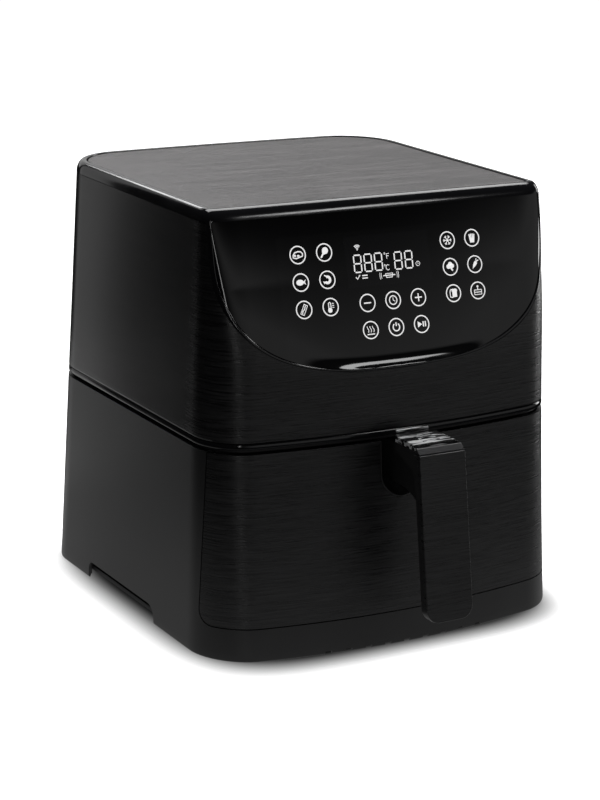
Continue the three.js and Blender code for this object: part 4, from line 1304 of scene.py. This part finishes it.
class Sign:
    """White marks in millimetres about a centre: `lines` hold (width, points), `fills` hold outlines."""
    def __init__(self, lines=(), fills=()):
        self.lines, self.fills = list(lines), list(fills)

    def __add__(self, other):
        return Sign(self.lines + other.lines, self.fills + other.fills)

    def at(self, x, z, angle=0.0, scale=1.0):
        """The sign moved to the panel at x and height z."""
        w = (z - PANEL_ORIGIN.z) / math.cos(TILT)
        lines = [(width * scale, turned(points, angle, x, w, scale)) for width, points in self.lines]
        return Sign(lines, [turned(points, angle, x, w, scale) for points in self.fills])


def drawn_marks(sign):
    bm = bmesh.new()
    for width in sorted({round(width, 3) for width, _ in sign.lines}):
        curve = bpy.data.curves.new("marks", "CURVE")
        curve.dimensions, curve.use_fill_caps = "3D", True
        curve.bevel_depth, curve.bevel_resolution = width / 2, 1
        for points in [points for own, points in sign.lines if round(own, 3) == width]:
            closed = math.dist(points[0], points[-1]) < 1e-6
            kept = points[:-1] if closed else points
            spline = curve.splines.new("POLY")
            spline.points.add(len(kept) - 1)
            spline.use_cyclic_u = closed
            for point, (x, y) in zip(spline.points, kept):
                point.co = (x, y, 0, 1)
        lines = bpy.data.objects.new("marks", curve)
        drawn = bmesh.new()
        drawn.from_mesh(bpy.data.meshes.new_from_object(lines))
        bmesh.ops.scale(drawn, vec=(1, 1, MARK_HEIGHT / (width / 2)), verts=drawn.verts)
        flat = bpy.data.meshes.new("marks")
        drawn.to_mesh(flat)
        bm.from_mesh(flat)
        bpy.data.objects.remove(lines)
    bmesh.ops.remove_doubles(bm, verts=bm.verts, dist=1e-4)
    for outline in sign.fills:
        flat = bpy.data.meshes.new("marks")
        extruded(outline, -MARK_HEIGHT, MARK_HEIGHT).to_mesh(flat)
        bm.from_mesh(flat)
    bmesh.ops.recalc_face_normals(bm, faces=bm.faces)
    bmesh.ops.transform(bm, matrix=PANEL @ Matrix.Translation((0, 0, -0.12)), verts=bm.verts)
    for vertex in bm.verts:
        vertex.co.y += face_y(vertex.co.x, vertex.co.z) - panel_y(vertex.co.z)
    return bm


# %% The signs
FINE, MEDIUM, BOLD = 0.55, 0.75, 1.0
RING = Sign([(0.85, circle(6.1, steps=56))])
MINUS = Sign([(0.9, [(-2.9, 0), (2.9, 0)])])
PLUS = MINUS + Sign([(0.9, [(0, -2.9), (0, 2.9)])])
POWER = Sign([(0.9, circle(2.7, first=125, last=415, steps=24)), (0.9, [(0, 3.5), (0, 0.7)])])
START = Sign([(BOLD, [(1.4, -1.9), (1.4, 1.9)]), (BOLD, [(3.2, -1.9), (3.2, 1.9)])],
             [[(-3.2, -2.2), (0.3, 0), (-3.2, 2.2)]])
CLOCK = Sign([(MEDIUM, circle(3.1)), (FINE, [(0, 1.9), (0, 0), (1.5, -0.8)])])
wave = [(0.55 * math.sin(t * 5.2), -1.6 + 4.4 * t) for t in np.linspace(0, 1, 12)]
HEAT = Sign([(FINE, turned(wave, 0, x)) for x in (-2.2, 0, 2.2)] + [(MEDIUM, [(-3.1, -3), (3.1, -3)])])
GAUGE = Sign([(MEDIUM, [(-1.5, -1.2), (-1.5, 2.6), (-0.6, 3.4), (0.3, 2.6), (0.3, -1.2)]),
              *((FINE, [(1.4, y), (2.8, y)]) for y in (2.4, 1.0, -0.4))], [disc(1.7, -0.6, -2.3, 20)])
STEAK = Sign([(0.9, loop(turned([(-4, -1.2), (-3.6, 0.6), (-2, 2), (0.6, 2.3), (3, 1.6), (4, 0), (3.4, -1.6),
                                 (0.8, -1.9), (-1.8, -2.2)], 8)))],
             [disc(1.0, 0.4, -0.6, 18, 0.7), disc(0.8, -2.2, -0.4, 16)])
LEG = Sign([(1.2, [(-0.8, -0.6), (-2.4, -2.8)]), (1.4, [(-2.9, -2.6), (-2.2, -3.4)])],
           [turned([(-3.6, 0), *circle(2.4, 0.4, 0, -125, 125, 20)], 52, 0.6, 1.0)])
FISH = Sign([], [disc(2.9, -0.7, 0, 24, 0.72), [(1.4, 0), (4.0, 1.9), (3.2, 0), (4.0, -1.9)]])
SHRIMP = Sign([(1.9, circle(2.2, 0, 0, -140, 110, 18)), (0.8, [(-0.6, 2.4), (-2.2, 3.4)])],
              [[(-1.6, -1.2), (-3.6, -0.9), (-2.6, -2.9)]])
BACON = Sign([(MEDIUM, loop(turned([(-3.7, -1.4), (3.7, -1.4), (3.7, 1.4), (-3.7, 1.4)], 62))),
              (MEDIUM, turned([(-3.2, 0.1), (-1.4, 0.5), (0.4, -0.2), (3.2, 0.2)], 62))])
FLAKE = Sign([(FINE, turned([(0, 0), (3.6, 0)], a)) for a in range(0, 360, 60)]
             + [(FINE, turned([(3.2, 1.0), (2.2, 0), (3.2, -1.0)], a)) for a in range(0, 360, 60)])
FRIES = Sign([(BOLD, [(x, -0.4), (x * 1.25, 3.2 - abs(x) * 0.25)]) for x in (-1.7, -0.6, 0.6, 1.7)],
             [[(-2.3, 0.6), (-1.7, -3.4), (1.7, -3.4), (2.3, 0.6), (0, -0.3)]])
GREENS = Sign([(1.3, [(-0.2, 0), (1.7, -2.9)])],
              [disc(1.7, -1.6, 0.3, 18), disc(1.8, 0, 1.8, 18), disc(1.6, 1.6, 0.6, 18)])
ROOT = Sign([(0.7, turned([(2.2, 0), (4.3, 1.1)], 55)), (0.7, turned([(2.2, 0), (4.3, -1.1)], 55))],
            [turned([(-3.9, 0), (-1, 1.0), (1.6, 1.35), (2.5, 0), (1.6, -1.35), (-1, -1.0)], 55)])
BREAD = Sign([(MEDIUM, [(-0.8, -3.0), (-2.9, -2.5), (-2.9, 1.1), (-2.4, 2.6), (-0.4, 3.0)])],
             [[(-1.0, -3), (2.8, -2.7), (2.8, 0.9), (3.4, 2.2), (2.0, 3.3), (-0.4, 3.1),
              (-1.6, 2.0), (-1.0, 0.9)]])
CAKE = Sign([(MEDIUM, loop([(-3.1, -2.9), (3.1, -2.9), (3.1, 0.5), (-3.1, 0.5)])),
             (FINE, [(-3.0, -1.2), (3.0, -1.2)]), (MEDIUM, [(0, 0.6), (0, 2.1)])], [disc(0.8, 0, 3.0, 12)])
KEY_COLUMNS, KEY_ROWS = (72.8, 51.5), (287.1, 268.5, 250.0)
KEY_PITCH, LOW_ROW = 21.3, 231.4
LEFT_KEYS = ((STEAK, LEG), (FISH, SHRIMP), (BACON, GAUGE))
RIGHT_KEYS = ((FLAKE, FRIES), (GREENS, ROOT), (BREAD, CAKE))


def key(sign, x, z):
    return (RING + sign).at(x, z)


def all_keys():
    keys = Sign()
    for z, left, right in zip(KEY_ROWS, LEFT_KEYS, RIGHT_KEYS):
        for column, outer, inner in zip(KEY_COLUMNS, left, right[::-1]):
            keys += key(outer, -column, z) + key(inner, column, z)
    for place, upper, lower in zip((-1, 0, 1), (MINUS, CLOCK, PLUS), (HEAT, POWER, START)):
        keys += key(upper, place * KEY_PITCH, KEY_ROWS[-1]) + key(lower, place * KEY_PITCH, LOW_ROW)
    return keys


# %% The display
DIGIT_HALF, DIGIT_TALL, SEGMENT = 2.95, 6.1, 0.95


def digit(x, z):
    """A figure of eight in seven segments."""
    h, t, gap = DIGIT_HALF, DIGIT_TALL, 0.55
    bars = [[(-h + gap, y), (h - gap, y)] for y in (-t, 0, t)]
    sides = [[(side * h, low + gap), (side * h, low + t - gap)] for side in (-1, 1) for low in (-t, 0)]
    return Sign([(SEGMENT, bar) for bar in bars + sides]).at(x, z, -1.5)


def display():
    marks = Sign()
    for x in (-25.5, -16.9, -8.3):
        marks += digit(x, 277.2)
    for x in (8.1, 17.0):
        marks += digit(x, 276.6)
    waves = Sign([(0.6, circle(radius, 0, 0, 45, 135, 8)) for radius in (1.2, 2.2, 3.2)],
                 [disc(0.5, steps=10)])
    degree = Sign([(0.35, circle(0.55, steps=12))])
    letter_f = Sign([(0.5, [(-1.0, -1.8), (-1.0, 1.8), (1.1, 1.8)]), (0.5, [(-1.0, 0.2), (0.8, 0.2)])])
    letter_c = Sign([(0.5, circle(1.6, first=50, last=310, steps=16, tall=1.15))])
    ready = Sign([(0.8, [(-4.6, 0.2), (-3.4, -1.3), (-1.2, 1.5)]), (0.8, [(0.6, -1.0), (5.0, -1.0)]),
                  (0.8, [(0.6, 0.9), (5.0, 0.9)])])
    basket = Sign([(0.7, loop([(-3.0, 1.3), (-2.4, -1.5), (2.4, -1.5), (3.0, 1.3)])),
                   (0.7, [(-5.0, 0.0), (5.0, 0.0)])])
    swings = Sign([(0.4, turned(circle(r, 0, 0, -18, 18, 8), side)) for r in (6.6, 7.8) for side in (0, 180)])
    marks += waves.at(-24.6, 286.8) + degree.at(-2.6, 282.3) + letter_f.at(-0.1, 280.4)
    marks += degree.at(-3.4, 274.3) + letter_c.at(-1.0, 272.7) + ready.at(-23.6, 268.0)
    marks += (basket + swings).at(-0.7, 267.3) + CLOCK.at(24.2, 273.2, scale=0.52)
    return marks


piece("panel_marks", drawn_marks(all_keys() + display()), "housing", PRINT_AND_GLOW, angle=60)
print("marks", len(PIECES["panel_marks"].data.polygons), "faces")

# %% [markdown]
# ## The studio
#
# A black object shows what stands round it, so the light is a matter of where bright and dark things are.
# The floor and the sky are white to the camera only, so that they don't wash the black out, and a painted
# contact shadow darkens the floor softly towards the object's foot.

# %% Camera
CAMERA_AZIMUTH, CAMERA_ELEVATION, CAMERA_ROLL = -29.887, 15.089, 1.150
CAMERA_DISTANCE, FOCUS_HEIGHT = 1.8033, 0.161
WIDE, TALL, SENSOR = 600, 800, 36.0
FOCAL_PIXELS, CENTRE_X, CENTRE_Y = 2350.7, 306.95, 380.35
a, e, roll = (math.radians(v) for v in (CAMERA_AZIMUTH, CAMERA_ELEVATION, CAMERA_ROLL))
backward = Vector((math.sin(a) * math.cos(e), -math.cos(a) * math.cos(e), math.sin(e)))
right = (-backward).cross(Vector((0, 0, 1))).normalized()
upward = right.cross(-backward)
right, upward = (right * math.cos(roll) + upward * math.sin(roll),
                 upward * math.cos(roll) - right * math.sin(roll))
camera = bpy.data.objects.new("camera", bpy.data.cameras.new("camera"))
bpy.context.scene.collection.objects.link(camera)
bpy.context.scene.camera = camera
camera.location = Vector((0, centre_y, FOCUS_HEIGHT)) + backward * CAMERA_DISTANCE
camera.rotation_euler = Matrix((right, upward, backward)).transposed().to_euler()
camera.data.sensor_width = SENSOR
camera.data.lens = FOCAL_PIXELS / TALL * SENSOR
camera.data.shift_x = (WIDE / 2 - CENTRE_X) / TALL
camera.data.shift_y = (CENTRE_Y - TALL / 2) / TALL
print("lens", round(camera.data.lens, 1), "mm")

# %% Floor
def staged(name, bm, look):
    """Something of the studio's, drawn in metres."""
    mesh = bpy.data.meshes.new(name)
    bm.to_mesh(mesh)
    mesh.materials.append(look.material)
    made = bpy.data.objects.new(name, mesh)
    bpy.context.scene.collection.objects.link(made)
    return made


FOOT_HALF, FOOT_DEPTH, FOOT_POWER, PAINTED_SHADOW_REACH = 0.149, 0.156, 4.6, 0.034
paper = Finish("studio_floor", Emission_Strength=1.0, Specular_IOR_Level=0.0)
fibre = paper.noise(40.0)
side_share = (paper.axis("X") / FOOT_HALF).size() ** FOOT_POWER
depth_share = ((paper.axis("Y") - centre_y) / FOOT_DEPTH).size() ** FOOT_POWER
outside = ((side_share + depth_share) ** (1 / FOOT_POWER) - 1.0) * FOOT_HALF
# Painted contact shadow: the floor's colour and glow fall to black under the footprint and rise to white a
# few centimetres outside it.
clear_of_painted_shadow = outside.ramp(-0.012, PAINTED_SHADOW_REACH)
white = paper.blend(fibre, (0.86, 0.86, 0.86), (0.9, 0.9, 0.9))
paper.set(Base_Color=paper.blend(clear_of_painted_shadow, (0.02, 0.02, 0.02), white),
          Emission_Color=paper.blend(clear_of_painted_shadow, (0, 0, 0), (1, 1, 1)), Roughness=0.9)
floor_bm = bmesh.new()
bmesh.ops.create_grid(floor_bm, x_segments=2, y_segments=2, size=6.0)
floor = staged("floor", floor_bm, paper)
floor.visible_glossy = floor.visible_diffuse = floor.visible_transmission = False
print("floor shadow reaches", PAINTED_SHADOW_REACH * 1000, "mm")

# %% [markdown]
# ## What the black reflects
#
# Only reflections ever see this part of the sky. It is dark, apart from a pale ground in front and to the
# right that stops at eye level, which is what the glass mirrors along its lower half. A round card on the
# floor, also seen by reflections only, gives the foot of the housing its lighter fade.

# %% Sky
GROUND_GLOW, SKY_GLOW, EYE_LEVEL = 0.36, 0.010, (12.5, 17.5)
world = bpy.data.worlds.new("studio")
bpy.context.scene.world = world
world.use_nodes = True
sky = Graph(world.node_tree)
looking = sky.node("TexCoord", {}, {}, "Generated")
height = sky.node("SeparateXYZ", {}, {0: looking}, "Z")
towards = sky.node("VectorMath", {"operation": "DOT_PRODUCT"}, {0: looking, 1: (0.62, -0.78, 0.0)}, "Value")
eye_level = height.ramp(*(math.sin(math.radians(a)) for a in EYE_LEVEL), 1.0, 0.0)
glow = eye_level * height.ramp(-0.45, 0.1, 0.45, 1.0) * towards.ramp(0.35, 0.95)
unseen = sky.node("Background", {}, {"Color": (1, 1, 1), "Strength": glow * GROUND_GLOW + SKY_GLOW})
seen = sky.node("Background", {}, {"Color": (1, 1, 1), "Strength": 1.05})
eye = sky.node("LightPath", {}, {}, "Is Camera Ray")
sky.plug(sky.nodes["World Output"].inputs["Surface"], sky.node("MixShader", {}, {0: eye, 1: unseen, 2: seen}))
bpy.context.scene.view_settings.view_transform = "Standard"
print("sky glows", SKY_GLOW, "and its ground", GROUND_GLOW)

# %% Bounce card
CARD_RADIUS, CARD_GLOW, LEFT_GLOW = 0.62, 0.3, 0.45
LEFT_FACE, LEFT_REACH = -0.15, 0.62
glowing = Finish("bounce_card", Base_Color=(0, 0, 0), Specular_IOR_Level=0.0, Emission_Strength=1.0)
across, along = glowing.axis("X"), glowing.axis("Y") - centre_y
fade = ((across ** 2 + along ** 2) ** 0.5).ramp(0.2, CARD_RADIUS, CARD_GLOW, 0.0)
left_of = (across * -1.0) + LEFT_FACE
behind_corner = (along - left_of * 1.74).ramp(0.02, 0.3)
left_patch = behind_corner * left_of.ramp(0.0, LEFT_REACH, LEFT_GLOW, 0.0) * left_of.above(0.0)
glowing.set(Emission_Color=glowing.blend(fade + left_patch, (0, 0, 0), (1, 1, 1)))
card_bm = bmesh.new()
bmesh.ops.create_circle(card_bm, cap_ends=True, segments=64, radius=CARD_RADIUS + 0.3)
bmesh.ops.translate(card_bm, verts=card_bm.verts, vec=(0, centre_y, 0.0005))
card = staged("bounce_card", card_bm, glowing)
card.visible_camera = card.visible_shadow = False
print("card", CARD_RADIUS * 2, "m across")

# %% [markdown]
# ## Lights
#
# Each softbox is placed where one surface mirrors it. The back wall shows in the lid, the overhead box and
# the long strip behind it in the rim's rolls, and the smallest box makes the streak in the glass's cove.
# The others shade the two sides and the bezel. None is seen by the camera itself.

# %% Softboxes
def softbox(name, place, aim, size, power):
    """A rectangular area light at `place`, facing `aim`, `size` metres wide and tall."""
    light = bpy.data.lights.new(name, "AREA")
    light.shape, light.size, light.size_y, light.energy = "RECTANGLE", *size, power
    made = bpy.data.objects.new(name, light)
    bpy.context.scene.collection.objects.link(made)
    made.location = place
    made.rotation_euler = (Vector(aim) - Vector(place)).to_track_quat("-Z", "Y").to_euler()
    made.visible_camera = False
    return made


MIDDLE = (0, centre_y, 0.16)
softbox("back_wall", (0.9, 2.6, 0.95), MIDDLE, (3.2, 1.2), 7)
softbox("left_panel", (-0.22, 0.31, 0.25), (-0.15, 0.1, 0.2), (0.06, 0.7), 0.065)
softbox("right_strip", (2.2, 0.2, 0.6), MIDDLE, (0.5, 1.6), 14)
softbox("overhead", (0.3, 0.4, 1.6), (0, 0.4, 0.16), (1.05, 1.6), 32)
softbox("rim_line", (0.25, 2.1, 1.45), MIDDLE, (1.4, 0.2), 5)
softbox("glass_streak", (0.96, -1.49, 1.28), (0, -0.08, 0.21), (0.3, 0.22), 1.8)
softbox("front_left", (-1.0, -1.65, 0.5), MIDDLE, (0.1, 1.0), 1.6)

# %% [markdown]
# ## Finishes for the CAD's own nodes
#
# Nodes whose shape is already right stay as they are and only take the finish of their slot.

# %% Finish the CAD nodes
for name, node in frame["nodes"].items():
    for slot in node.material_slots:
        slot.material = LOOKS[slot.material.name.removeprefix("cad_").split(".")[0]]
